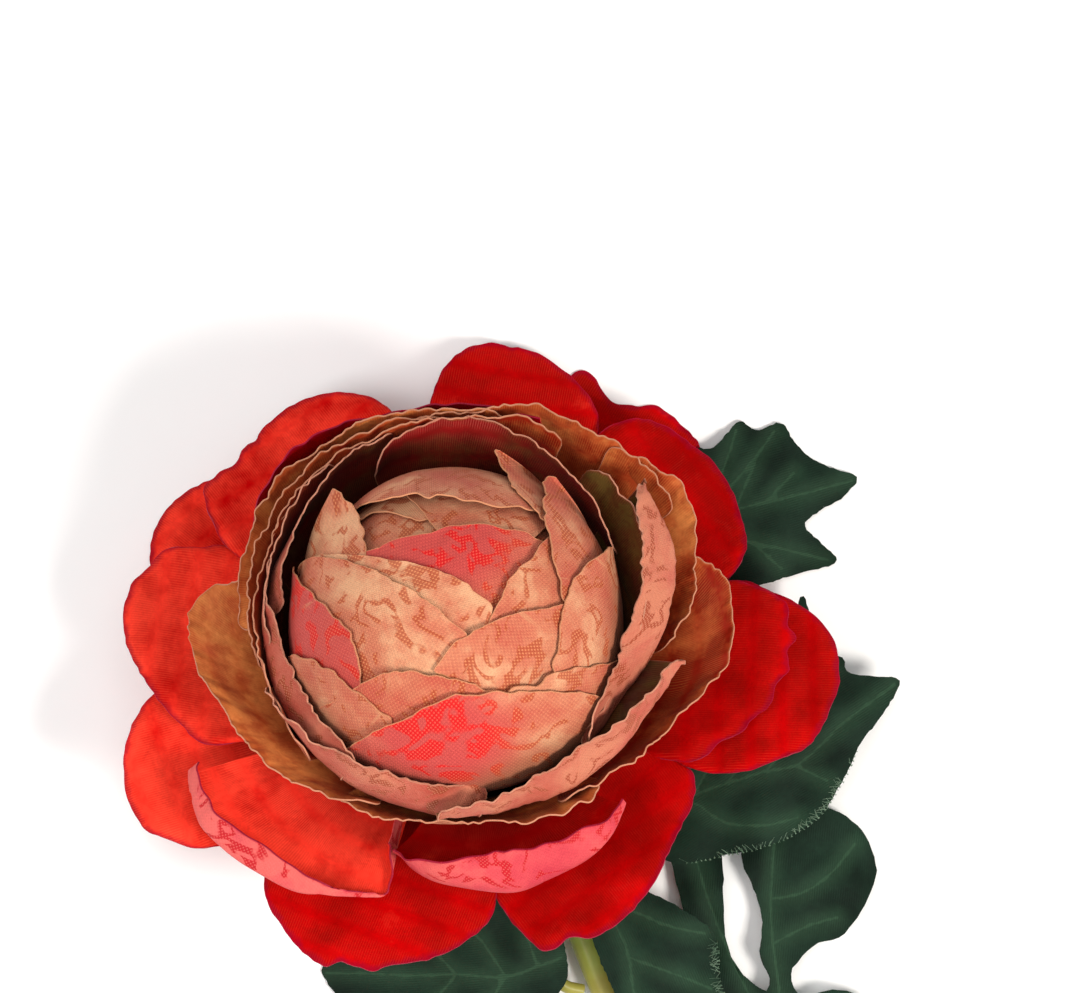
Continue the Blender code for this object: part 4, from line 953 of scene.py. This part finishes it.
RED_PATCHES = {
    # name: bearing and angle of the patch's middle, its reach in millimetres, how strong
    "red_patch": [(95, 20, 9, 1.0), (146, 26, 6, 0.9), (48, 26, 5, 0.6)],
    "left_red": [(182, 68, 10, 0.9), (206, 50, 7, 0.8)],
    "near_wide": [(264, 54, 9, 1.0), (246, 62, 7, 0.8)],
}
print(len(HEART), "petals on the heart")

# %% A petal on the ball
HEART_SEED = 1000
HEART_CLOTH = 0.22
HEART_COLUMNS = 112
HEART_ROWS = 22
ROOT_ANGLE = 99.0  # from the ball's top, so the roots are just under its waist
UNDER = 0.6  # how far a root is sunk into the padding
CORE_INSET = -0.35  # the padding ends a little under the petals


def on_sphere(bearing, angle):
    """Directions from the ball's middle."""
    b, p = np.radians(bearing), np.radians(angle)
    return np.stack([np.sin(p) * np.cos(b), np.sin(p) * np.sin(b), np.cos(p)], axis=-1)


def red_print(name, aim):
    """How much of the red patch each place of a petal carries."""
    patch = np.zeros(aim.shape[:2])
    for bearing, angle, reach, strength in RED_PATCHES.get(name, []):
        away = BALL_RADIUS * np.arccos(np.clip(aim @ on_sphere(bearing, angle), -1, 1))
        patch = np.maximum(patch, strength * swell(1.6 - away / reach))
    return patch


def heart_petal(name, rise, dye, root, root_half, edge_at, seed):
    """A petal that follows the ball from its root to a nicked free edge."""
    spots = np.array([(*spot, 0.0)[:3] for spot in edge_at])
    spots = np.column_stack([on_sphere(*spots[:, :2].T), spots[:, 2] / BALL_RADIUS])
    rim, along = evenly(spots, HEART_COLUMNS)
    stand_off = rim[:, 3] * BALL_RADIUS
    rim = unit(rim[:, :3])
    along = along * BALL_RADIUS
    bearings = root + np.linspace(-root_half, root_half, HEART_COLUMNS)
    start = on_sphere(bearings, np.full(HEART_COLUMNS, ROOT_ANGLE))
    if np.sum((start - rim) ** 2) > np.sum((start[::-1] - rim) ** 2):
        start = start[::-1]
    arc = np.arccos(np.clip(np.sum(start * rim, axis=1), -1, 1))
    nick = 0.2 * nicks(along, 0.9, seed) + 0.3 * crimp(along, 2.6, seed + 1)
    t = crowded(HEART_ROWS, 1.4)
    reach = t[:, None] * (1 + nick / (arc * BALL_RADIUS))[None]
    from_root = np.sin((1 - reach) * arc)[..., None] * start[None]
    aim = (from_root + np.sin(reach * arc)[..., None] * rim[None]) / np.sin(arc)[None, :, None]
    edge = (1 - t)[:, None] * arc[None] * BALL_RADIUS
    lift = (rise + UNDER) * swell(5 * t)[:, None] - UNDER + 0.3 * np.exp(-edge / 2.0)
    lift = lift + ruffle(edge, along, 0.16, 1.5, 2.4, seed + 2)
    lift = lift + stand_off[None] * (t**1.5)[:, None]
    size = np.stack([BALL_RADIUS + lift, BALL_RADIUS + lift, BALL_HALF_HEIGHT + lift], axis=-1)
    points = aim * size + np.array([BALL_SHIFT, 0, BALL_AT])
    outward = np.cross(np.gradient(points, axis=1), np.gradient(points, axis=0))
    if np.sum(outward * aim) < 0:
        points, edge, aim = points[:, ::-1], edge[:, ::-1], aim[:, ::-1]
    side = unit(np.cross([0, 0, 1.0], on_sphere(root, 45.0)))
    climb = np.arccos(np.clip(aim @ on_sphere(root, 120.0), -1, 1))
    cloth = BALL_RADIUS * np.stack([aim @ side, climb], axis=-1)
    return sheet(lean(points), cloth, edge, t[:, None], dye, red_print(name, aim))


heart_sheets = [heart_petal(*one, seed=HEART_SEED + 10 * k) for k, one in enumerate(HEART)]
core_profile = [off_ball(climb, CORE_INSET) for climb in np.linspace(0, 180, 40)]
core = turned([(max(r, 0.3), w) for r, w in core_profile]) + np.array([BALL_SHIFT, 0, 0])
heart_sheets.append(sheet(lean(core), core[..., :2], 9.0, 0.7, 0.5))
heart = sew("heart_petals_cloth", heart_sheets, heart_print, heart_inside, HEART_CLOTH)
stand_for(heart, "heart_petals")

# %% [markdown]
# ## Moulded plastic
# The calyx and the sleeve of the stem are soft polyethylene. It comes out of the mould with a fine
# grain, which breaks its shine, and its colour clouds a little. The same way of working gives the
# cut wire, the loose threads and the paper on the table their own grain.

# %% The material of a moulded piece
FINE_GRAIN = 0.8  # millimetres; the real grain is too fine to show, so this one is coarser


def moulded(name, low, high, rough, clouds, bump):
    """Two tones of one colour in clouds of a size, and a fine grain of a height, in millimetres."""
    made = bpy.data.materials.new(name)
    made.use_nodes = True
    tree = made.node_tree
    shader = tree.nodes["Principled BSDF"].inputs
    place = add(tree, "TexCoord", {}, out="Object")
    mottle = add(tree, "TexNoise", {}, Vector=place, Scale=1000 / clouds, Detail=3.0, Roughness=0.55)
    grain = add(tree, "TexNoise", {}, Vector=place, Scale=1000 / FINE_GRAIN, Detail=2.0)
    ramp = add(tree, "ValToRGB", {}, mottle)
    first, last = ramp.node.color_ramp.elements
    first.position, first.color = 0.38, linear(low)
    last.position, last.color = 0.64, linear(high)
    tree.links.new(ramp, shader["Base Color"])
    shine = add(tree, "MapRange", {}, grain, To_Min=rough - 0.08, To_Max=rough + 0.08)
    tree.links.new(shine, shader["Roughness"])
    bumps = add(tree, "Bump", {}, Strength=0.4, Distance=bump * MM, Height=grain)
    tree.links.new(bumps, shader["Normal"])
    shader["Specular IOR Level"].default_value = 0.3
    return made


calyx_green = moulded("light green soft plastic", "#6E8A3C", "#93AA5A", 0.5, 6.0, 0.05)
stem_green = moulded("yellow-green plastic sleeve", "#5F7E2A", "#86A044", 0.42, 9.0, 0.04)
wire_end = moulded("cut wire", "#5A5854", "#8A8680", 0.4, 1.5, 0.03)
wire_end.node_tree.nodes["Principled BSDF"].inputs["Metallic"].default_value = 0.9
print(calyx_green.name, stem_green.name, wire_end.name, sep=", ")

# %% [markdown]
# ## Calyx
# Under the petals a small cup and five pointed sepals are moulded in one piece of soft light green
# plastic. The bloom hides it from the front. The cup is a turned line; a sepal is a narrow pointed
# sheet with a rib, bent down a little at its tip.

# %% Calyx and sepals
SEPAL_HALF = 4.3  # half of a sepal's width
SEPAL_LINE = [(3.5, -2.9), (9.0, -2.7), (15.0, -3.1), (20.3, -4.7)]
CUP_LINE = [(0.6, -5.9), (3.2, -6.0), (4.4, -5.1), (6.2, -3.5), (8.3, -1.9), (7.7, -1.1), (0.6, -1.1)]
MOULDED_WALL = 0.5

calyx_sheets = []
t = crowded(26, 1.3)
s = np.linspace(-1, 1, 21)
line = through(SEPAL_LINE, t)
taper = 1 - swell((t - 0.3) / 0.7) * 0.96
waist = np.where(t < 0.3, 0.75 + 0.25 * t / 0.3, 1.0)
half = SEPAL_HALF * np.sqrt(np.clip(t / 0.35, 0, 1)) * taper * waist
edge = half[:, None] * (1 - np.abs(s))
out = line[:, :1] + 0 * s
for k in range(5):
    side = half[:, None] * s[None] * (1 + 0.05 * np.sin(9 * t + k))[:, None]
    rib = 0.35 * np.exp(-((side / 0.5) ** 2)) * (1 - t)[:, None]
    w = line[:, 1:] + side**2 / 26.0 - rib + 0.12 * lumps(out, side, 6.0, 60 + k)
    turn = math.radians(126.0 + 72.0 * k)
    u = out * math.cos(turn) - side * math.sin(turn)
    v = out * math.sin(turn) + side * math.cos(turn)
    grid = above_table(lean(np.stack([u, v, w], axis=-1)))
    flat = np.stack([side, out], axis=-1)
    calyx_sheets.append(sheet(grid[:, ::-1], flat[:, ::-1], edge[:, ::-1], t[:, None], 0.5))
calyx_cup = lean(turned(through(CUP_LINE, np.linspace(0, 1, 43))))
calyx_sheets.append(sheet(calyx_cup, calyx_cup[..., :2], 5.0, 0.5, 0.5))
calyx = sew("calyx_moulding", calyx_sheets, calyx_green, calyx_green, MOULDED_WALL)
stand_for(calyx, "calyx")

# %% [markdown]
# ## Stem
# The stem is a steel wire in a sleeve of yellow-green plastic, extruded, so it is round and smooth
# with faint ridges along it, and blushed with brown-red paint in places. It is cut off at its end
# and shows the wire there. It leaves the calyx on the bloom's axis and then lies on the table.

# %% A bar along a route
WAVES = ((1.0, 1.0), (0.6, 0.61), (0.5, 1.83))  # height and length of each, beside the first


def wave(along, pitch, seed):
    """How ridges waver along a bar: three waves near one pitch, from -1 to 1."""
    starts = np.random.default_rng(seed).uniform(0, 2 * math.pi, len(WAVES))
    total = 0.0
    for (height, length), start in zip(WAVES, starts):
        total = total + height * np.sin(2 * math.pi * along / (length * pitch) + start)
    return total / sum(height for height, _ in WAVES)


def bar(name, route, radius, sides, steps, material, ridge=0.0, seed=0):
    """A round bar along a smooth route, closed at both ends, with faint ridges along it."""
    line, along = evenly(np.array(route, float), steps)
    run = unit(np.gradient(line, axis=0))
    side = unit(np.cross(run, [0, 0, 1.0]))
    rise = np.cross(side, run)
    turn = np.linspace(0, 2 * math.pi, sides, endpoint=False)
    ridges = np.sin(5 * turn + 1)[None] + np.sin(9 * turn + seed)[None] + 2 * wave(along, 17.0, seed)[:, None]
    r = (radius - ridge + ridge * ridges / 4)[..., None]
    circle = side[:, None] * np.cos(turn)[None, :, None] + rise[:, None] * np.sin(turn)[None, :, None]
    ring = line[:, None] + r * circle
    points = np.concatenate([ring.reshape(-1, 3), line[:1], line[-1:]])
    n = steps * sides
    faces = []
    for k in range(steps - 1):
        for i in range(sides):
            j = (i + 1) % sides
            faces.append((k * sides + i, k * sides + j, (k + 1) * sides + j, (k + 1) * sides + i))
    for i in range(sides):
        j = (i + 1) % sides
        faces.append((n, j, i))
        faces.append((n + 1, (steps - 1) * sides + i, (steps - 1) * sides + j))
    girth = np.append(np.tile(turn * radius, steps), [0, 0])
    length = np.append(np.repeat(along, sides), [along[0], along[-1]])
    mesh = mapped_mesh(name, points, faces, np.stack([girth, length], axis=-1))
    mesh.materials.append(material)
    mesh.shade_smooth()
    mesh.set_sharp_from_angle(angle=math.radians(60))
    return placed(name, mesh)


def join(first, others):
    """Makes one object of several."""
    with bpy.context.temp_override(active_object=first, selected_editable_objects=[first, *others]):
        bpy.ops.object.join()


print("ridges waver", np.round(wave(np.arange(0, 12, 3.0), 17.0, 3), 2))

# %% Brown-red paint on the sleeve
BLUSH = 26  # millimetres between the painted places

tree = stem_green.node_tree
skin = tree.nodes["Principled BSDF"].inputs["Base Color"]
green = skin.links[0].from_socket
place = add(tree, "TexCoord", {}, out="Object")
blush = add(tree, "TexNoise", {}, Vector=place, Scale=1000 / BLUSH, Detail=2.5)
painted = add(tree, "MapRange", SMOOTH, blush, 0.46, 0.66, To_Max=0.4)
tree.links.new(add(tree, "Mix", COLOURS, painted, i6=green, i7=linear("#B07840"), out=2), skin)
print("paint over", green.node.name)

# %% The stem and its wire
STEM_RADIUS = 2.74
WIRE_RADIUS = 0.75
LIE = 2.79  # height of the stem's middle where it lies
NECK = [tuple(lean((0, 0, w)) - TABLE_AT) for w in (-6.5, -7.4, -8.6)]
ROUTE = NECK + [(0.8, 6, 4.2), (3.2, 0, LIE), (7, -7, LIE), (12.4, -17, LIE), (19.3, -31, LIE),
                (25.5, -48, LIE), (32, -70, LIE), (37.5, -94, LIE), (41, -120, LIE)]
ROUTE = [np.array(p) + TABLE_AT for p in ROUTE]
stem = bar("stem_sleeve", ROUTE, STEM_RADIUS, 48, 220, stem_green, 0.1, 3)
end = ROUTE[-1]
end_run = unit(end - ROUTE[-2])
wire_line = [end - 3 * end_run, end - 1 * end_run, end + 0.12 * end_run]
wire = bar("stem_wire", wire_line, WIRE_RADIUS, 20, 8, wire_end)
join(stem, [wire])
stand_for(stem, "stem")
print("stem", len(stem.data.polygons), "faces")

# %% [markdown]
# ## Leaves
# The leaves are die-cut from a thinner cloth, dyed dark green, with the veins printed paler and
# pressed in as shallow grooves. The blade is a mesh of small triangles cut to a smooth outline,
# with the veins as lines of it, so that the distance to the nearest vein is exact. A blade is
# arched along its rib and slightly rippled, and its green plastic stalk is glued under it.

# %% Leaf cloth
LEAF_BLOTCHES = 0.09  # a blotch every 11 mm
LEAF_MOTTLE = 1.8  # lighter and darker every 0.6 mm
VEIN_BORDER = 0.7  # how fine the uneven border of a vein is


def leaf_cloth(name, low, high, vein, rough):
    """Dyed cloth with paler printed veins, a fine weave with painted light and shade on it, and a brushed
    tone across it.
    """
    made = bpy.data.materials.new(name)
    made.use_nodes = True
    tree = made.node_tree
    shader = tree.nodes["Principled BSDF"].inputs
    place = add(tree, "UVMap", {"uv_map": "cloth"})
    over = weave(tree, place, LEAF_THREADS)
    blotch = add(tree, "TexNoise", {}, Vector=place, Scale=LEAF_BLOTCHES, Detail=5.0, Roughness=0.6)
    ramp = add(tree, "ValToRGB", {}, blotch)
    first, last = ramp.node.color_ramp.elements
    first.position, first.color = 0.36, linear(low)
    last.position, last.color = 0.66, linear(high)
    from_vein = add(tree, "Attribute", {"attribute_name": "vein"}, out="Fac")
    apart = add(tree, "TexNoise", {}, Vector=place, Scale=VEIN_BORDER)
    apart = add(tree, "Math", TIMES_PLUS, apart, 0.7, -0.35)
    line = add(tree, "Math", PLUS, apart, from_vein)
    line = add(tree, "MapRange", SMOOTH, line, 0.05, 0.5, 0.4, 0.0)
    halo = add(tree, "MapRange", SMOOTH, from_vein, 0.1, 3.0, 0.2, 0.0)
    pale = add(tree, "Math", LARGER, line, halo)
    colour = add(tree, "Mix", COLOURS, pale, i6=ramp, i7=linear(vein), out=2)
    mottle = add(tree, "TexNoise", {}, Vector=place, Scale=LEAF_MOTTLE, Roughness=0.6)
    mottle = add(tree, "MapRange", {}, mottle, To_Min=0.8, To_Max=1.2)
    # painted light and shade on the weave: lighter where the threads rise, darker where they pass under
    rib_shading = add(tree, "MapRange", {}, over, From_Min=-1.0, To_Min=0.86, To_Max=1.16)
    weave_shade_and_grain = add(tree, "Math", TIMES, mottle, rib_shading)
    tree.links.new(add(tree, "VectorMath", SCALE, colour, Scale=weave_shade_and_grain), shader["Base Color"])
    threads = add(tree, "Bump", {}, Strength=0.25, Distance=0.00006, Height=over)
    soft = add(tree, "Bump", {}, Strength=0.5, Distance=0.0005, Height=blotch, Normal=threads)
    tree.links.new(soft, shader["Normal"])
    shader["Roughness"].default_value = rough
    shader["Specular IOR Level"].default_value = 0.12
    return made


leaf_face = leaf_cloth("dark green dyed cloth, upper face", "#091910", "#162C1F", "#3E5E44", 0.7)
leaf_under = leaf_cloth("dark green dyed cloth, under face", "#1A3022", "#284230", "#506A4C", 0.75)
frayed = moulded("pale loose thread", "#4C6650", "#7C947C", 0.7, 3.0, 0.02)
print(leaf_face.name, leaf_under.name, frayed.name, sep=", ")

# %% [markdown]
# The outlines were read from above, in millimetres on the table. The lobes are smoothed with a
# curve that still passes through every tip.

# %% Leaf outlines, veins and stalks
LEAVES = {
    # outline, where the rib starts and ends, heights there and between, fold, veins, stalk
    "leaf_1": (
        [(33, 36), (32, 42), (36, 49), (40, 49.9), (44, 54), (47, 52.7), (51, 53.8), (53, 51),
         (55.5, 48.4), (59.4, 46.4), (63.6, 44.9),
         (61, 41.6), (57.2, 39.4), (54.8, 37.1), (57.6, 34.2), (60, 31), (53.6, 29.1), (47, 27.2),
          (41, 26.5), (36.5, 30)],
        (34, 36), (63.6, 44.9), (2.6, 2.2, 0.4), 0.08,
        [[(34, 36), (43.4, 39.6), (52, 41.6), (62.6, 44.4)], [(36, 36.6), (45, 46), (50, 52.6)],
         [(36, 36.4), (41, 45), (43.6, 52.6)],
         [(36, 36.2), (46, 34.4), (58.6, 31.4)], [(48, 40.6), (53, 45.6)], [(46, 34.4), (51, 30)],
          [(43.4, 39.6), (47, 48)]],
        [(6.9, 1.6, 3.2), (9.5, 6, 3.0), (20, 21, 2.0), (38, 38, 1.2)]),
    "leaf_2": (
        [(31.5, -8.5), (34, -2), (39, 5), (46, 13), (52, 20.5), (54.2, 25.8), (56, 19), (58, 16.5),
         (60.5, 15.8), (61.6, 13.2), (65.8, 12.6),
         (70, 11.7), (66.2, 5.4), (63.4, 1.9), (61, -3.1), (57.3, -9.1), (53.7, -12.2), (49.5, -14.2),
          (41, -16.4), (33, -17.6), (29.5, -14.5)],
        (31.5, -12), (70, 11.7), (7.6, 9.6, 6.5), 0.06,
        [[(31.5, -9), (36.4, -6.5), (41.6, -4.7), (48.1, -2.6), (52.8, -1.8), (56.8, 1.4), (60.5, 5.1),
         (69.0, 11.2)],
         [(33, -8.4), (36.4, -7.6), (41.1, -10.9), (47.7, -11.4), (53.2, -10.2)], [(41.6, -4.7),
          (47, 3), (53, 17)], [(48.1, -2.6), (54, 5), (59, 13.6)],
         [(52.8, -1.8), (58, -4.2)], [(36.4, -6.5), (40, 0), (44, 8)]],
        [(9.9, -4.9, 4.0), (14, -4.5, 5.0), (24, -9, 6.0), (36, -9.4, 6.9)]),
    "leaf_3": (
        [(18.5, -21), (23, -20.5), (29.8, -22.6), (34.5, -25), (39, -28.2), (40.3, -32), (40.4, -36),
         (41.6, -41), (41, -47), (38.6, -53),
         (35.4, -58.5), (32, -52), (28.6, -46), (24.4, -40), (21.2, -33), (19, -26.5)],
        (19.5, -21.5), (35.4, -58.5), (8.2, 9.4, 4.0), 0.07,
        [[(19.5, -21.5), (24, -28), (25.9, -32.7), (26.5, -37.6), (30, -47), (35, -57.4)], [(21.4, -24),
         (27.2, -25.6), (31.6, -27.5), (38.2, -29)],
         [(25.9, -32.7), (32, -35), (39.4, -38)], [(26.8, -39), (33, -43), (40, -48)]],
        [(14.8, -14.6, 4.2), (16.6, -14.6, 5.8), (19.6, -20, 6.8), (22.6, -27, 7.6)]),
    "leaf_4": (
        [(15.6, -31.5), (13.6, -25), (8, -20.5), (0, -19.5), (-8, -22.5), (-15, -27), (-20, -31.5),
         (-24, -35), (-23.6, -37.5), (-20, -41),
         (-13, -43), (-9, -47.5), (-2, -49), (3, -46), (9, -46.5), (13, -41), (16, -36)],
        (15, -32.5), (-24, -36), (7.4, 7.8, 0.4), 0.07,
        [[(15, -33), (6, -36), (-2, -35.6), (-8, -36), (-16, -36), (-23.4, -36.3)], [(6, -36), (1, -29),
         (-6, -23.6)], [(6, -36), (3, -41), (2, -45.4)],
         [(-2, -35.6), (-8, -30), (-14, -27.6)], [(-2, -35.6), (-6, -41), (-8, -46)], [(11, -34.2),
          (9, -28), (8, -22)]],
        [(18.4, -38.8, 3.8), (15.4, -37.8, 4.8), (12.4, -34.8, 5.6), (6, -34, 6.2)]),
    "leaf_5": (
        [(49.2, -51), (44, -45), (39, -36), (35, -26), (32.8, -15), (36, -11.5), (40.8, -15.5),
         (41.4, -24), (42, -31), (44, -35.5), (48.2, -38.9),
         (48.9, -36.8), (47.4, -32.8), (47.8, -27.6), (46.4, -22.2), (44.4, -17), (46, -10), (52, -6.5),
          (57.5, -8.6), (62.5, -11.2), (65.6, -15.5),
         (66.2, -21), (61.4, -29.5), (56.5, -31.2), (53.6, -34), (52.4, -36.6), (54.5, -39.8),
          (60, -38.6), (66, -41), (63, -45.5), (56, -49)],
        (50, -49), (54, -7), (3.4, 3.6, 2.2), 0.04,
        [[(50, -49), (50.6, -40), (49.5, -31.2), (49.2, -23.9), (49.9, -13.9), (51, -8)], [(50, -48),
         (42, -32), (38, -21), (36, -13)], [(49.2, -23.9), (54.2, -23), (59, -19.8), (63, -15)],
         [(50.4, -45), (57, -42.4), (64.4, -41)], [(49.5, -31.2), (55, -28.4), (60, -27)]],
        [(39.9, -86, 2.8), (44, -78, 2.4), (49, -62, 1.8), (50.4, -44, 1.8)]),
}
print(len(LEAVES), "leaves")

# %% Cutting a blade
BLADE_STEP = 0.95  # millimetres between the places inside a blade
BORDER_PLACES = 170


def to_line(places, line):
    """Distance of each place from a line of points."""
    best = np.full(len(places), 1e9)
    for a, b in zip(line[:-1], line[1:]):
        share = np.clip(((places - a) @ (b - a)) / max(float((b - a) @ (b - a)), 1e-9), 0, 1)
        best = np.minimum(best, np.linalg.norm(places - a - share[:, None] * (b - a), axis=1))
    return best


def within(places, ring):
    """Which places are inside a closed line."""
    inside = np.zeros(len(places), bool)
    for a, b in zip(ring[:-1], ring[1:]):
        crosses = (a[1] > places[:, 1]) != (b[1] > places[:, 1])
        at = a[0] + (places[:, 1] - a[1]) * (b[0] - a[0]) / (b[1] - a[1] + 1e-12)
        inside ^= crosses & (places[:, 0] < at)
    return inside


def cut_blade(border, ring, veins):
    """Small triangles inside an outline, with the veins as lines of the mesh."""
    low, high = border.min(axis=0), border.max(axis=0)
    x, y = np.meshgrid(*(np.arange(low[n], high[n], BLADE_STEP) for n in (0, 1)))
    places = np.stack([x.ravel() + 0.3 * np.sin(7 * y.ravel()), y.ravel()], axis=-1)
    kept = (to_line(places, ring) > 0.5) & within(places, ring)
    for line in veins:
        kept &= to_line(places, line) > 0.35
    places = places[kept]
    corners = [Vector(p) for p in np.concatenate([border, places, *veins])]
    edges, n = [], len(border) + len(places)
    for line in veins:
        edges += [(n + k, n + k + 1) for k in range(len(line) - 1)]
        n += len(line)
    flat, _, faces = delaunay_2d_cdt(corners, edges, [list(range(len(border)))], 1, 1e-5)[:3]
    return np.array([tuple(p) for p in flat]), faces


print("a blade has a place every", BLADE_STEP, "mm")

# %% Pressing a blade and giving it its stalk
LEAF_CLOTH = 0.3  # thickness of a blade
GROOVE = 0.3  # depth of the groove over a vein
GROOVE_WIDTH = 1.1
STALK_RADIUS = 1.1
CUT_ROUGH = 0.06  # how uneven the cut edge is


def pressed(flat, foot, tip, heights, fold, veins, seed):
    """Heights of a blade, distances from its veins, and its map along and across the rib."""
    foot, tip = np.array(foot, float), np.array(tip, float)
    start, middle, end = heights
    length = np.linalg.norm(tip - foot)
    run = (tip - foot) / length
    across = np.array([-run[1], run[0]])
    gone = (flat - foot) @ run
    off = np.abs((flat - foot) @ across)
    share = np.clip(gone / length, 0, 1)
    z = start * (1 - share) * (1 - 2 * share) + 4 * middle * share * (1 - share)
    z = z + end * share * (2 * share - 1)
    z = z - fold * off + 0.5 * np.sin(0.42 * gone + 0.3 * off) * swell(off / 8)
    near = np.min([to_line(flat, line) for line in veins], axis=0)
    z = z + 0.25 * lumps(flat[:, 0], flat[:, 1], 9.0, seed) * swell(near / 3)
    z = z - GROOVE * np.exp(-((near / GROOVE_WIDTH) ** 2))
    return z, near, np.stack([flat @ run, flat @ across], axis=-1)


def leaf(name, seed):
    """A blade cut to its outline, with its veins pressed in, and its stalk."""
    outline, foot, tip, heights, fold, vein_lines, stalk_route = LEAVES[name]
    border = evenly(np.array(outline + outline[:1], float), BORDER_PLACES)[0][:-1]
    border = border + np.random.default_rng(seed).normal(0, CUT_ROUGH, border.shape)
    ring = np.concatenate([border, border[:1]])
    veins = [evenly(np.array(v, float), max(6, 2 * len(v)))[0] for v in vein_lines]
    flat, faces = cut_blade(border, ring, veins)
    z, near, cloth = pressed(flat, foot, tip, heights, fold, veins, seed)
    points = above_table(np.concatenate([flat, z[:, None]], axis=1) + TABLE_AT, 0.2)
    carries = {"edge": to_line(flat, ring), "vein": near}
    blade = thicken(name + "_cloth", points, faces, cloth, carries, leaf_face, leaf_under, LEAF_CLOTH)
    route = [np.array(p) + TABLE_AT for p in stalk_route]
    stalk = bar(name + "_stalk", route, STALK_RADIUS, 20, 60, stem_green, 0.05, seed)
    return blade, stalk, points, border


print("blades are", LEAF_CLOTH, "mm thick")

# %% [markdown]
# Two leaves are frayed where they were cut. Their loose threads are short thin bars, slightly
# bent, and each leaves the edge at its own angle.

# %% Loose threads, and the leaves in their places
THREAD_RADIUS = 0.028  # a few filaments together, because one alone is too thin to show
FRAYED = {"leaf_2": (0.62, 0.9, 190), "leaf_3": (0.26, 0.62, 170)}  # start and stop round the edge, how many


def loose_threads(name, border, points, start, stop, count, seed):
    """Short pale threads along a stretch of a cut edge."""
    rng = np.random.default_rng(seed)
    made = []
    for _ in range(count):
        k = int(rng.uniform(start, stop) * len(border)) % len(border)
        a, b = border[k], border[(k + 1) % len(border)]
        run = unit(b - a)
        out = np.array([run[1], -run[0]])
        turn = rng.uniform(-0.9, 0.9)
        aim = out * math.cos(turn) + run * math.sin(turn)
        reach = rng.uniform(0.5, 1.6)
        line = [a - 0.3 * aim, a + 0.4 * reach * aim, a + reach * (aim + 0.3 * run * rng.uniform(-1, 1))]
        height = points[k][2]
        route = [np.array([*p, height + 0.12 + 0.05 * j]) + TABLE_AT * [1, 1, 0] for j, p in enumerate(line)]
        made.append(bar(name + "_thread", route, THREAD_RADIUS, 4, 5, frayed))
    return made


for k, name in enumerate(LEAVES):
    blade, stalk, points, border = leaf(name, 60 + 7 * k)
    extra = loose_threads(name, border, points, *FRAYED[name], 5 + k) if name in FRAYED else []
    join(blade, [stalk, *extra])
    stand_for(blade, name)

# %% [markdown]
# ## Table, light and camera
# The flower lies on a plain pale table under soft lights. The key light is the smallest. It comes
# from the right and the near side, so the rims shade the far wall of the bowl, as in the picture.
# Two broad lights from the left and from above fill the shadows. The camera looks straight down
# from 0.64 m, with a long lens.

# %% The table
WIDE = 1.2  # half of the table's width in metres

floor_mesh = bpy.data.meshes.new("table")
corners = [(-WIDE, -WIDE, 0), (WIDE, -WIDE, 0), (WIDE, WIDE, 0), (-WIDE, WIDE, 0)]
floor_mesh.from_pydata(corners, [], [(0, 1, 2, 3)])
floor_mesh.materials.append(moulded("matt white paper", "#FAFAF9", "#FCFCFB", 0.85, 40.0, 0.02))
floor = placed("table", floor_mesh)
print("table", 2 * WIDE, "m wide")

# %% Lights
LAMPS = [
    # name, place and aim in metres, side of its square in metres, watts, tone
    ("key", (0.45, -0.2, 0.6), (0, 0.04, 0.03), 0.22, 5.4, "#FFFAF4"),
    ("left", (-0.6, -0.1, 0.7), (0, 0.02, 0.02), 0.6, 4.6, "#FFFFFF"),
    ("top", (-0.1, 0.35, 1.1), (0, 0, 0), 0.9, 4.0, "#FFFFFF"),
]
for name, place, aim, size, power, tone in LAMPS:
    data = bpy.data.lights.new(name, "AREA")
    data.size = size
    data.energy = power
    data.color = linear(tone)[:3]
    lamp = placed(name, data)
    lamp.location = place
    lamp.rotation_euler = (Vector(aim) - Vector(place)).to_track_quat("-Z", "Y").to_euler()
world = bpy.data.worlds.new("studio")
bpy.context.scene.world = world
world.use_nodes = True
world.node_tree.nodes["Background"].inputs["Color"].default_value = (1, 1, 1, 1)
world.node_tree.nodes["Background"].inputs["Strength"].default_value = 0.3
bpy.context.scene.view_settings.view_transform = "Standard"
print(len(LAMPS), "lights")

# %% Camera, sizes and the end
camera_data = bpy.data.cameras.new("camera")
camera_data.lens = 130.0
camera_data.sensor_width = 36.0
camera = placed("camera", camera_data)
camera.location = (0.00485, 0.0679, 0.640)
bpy.context.scene.camera = camera
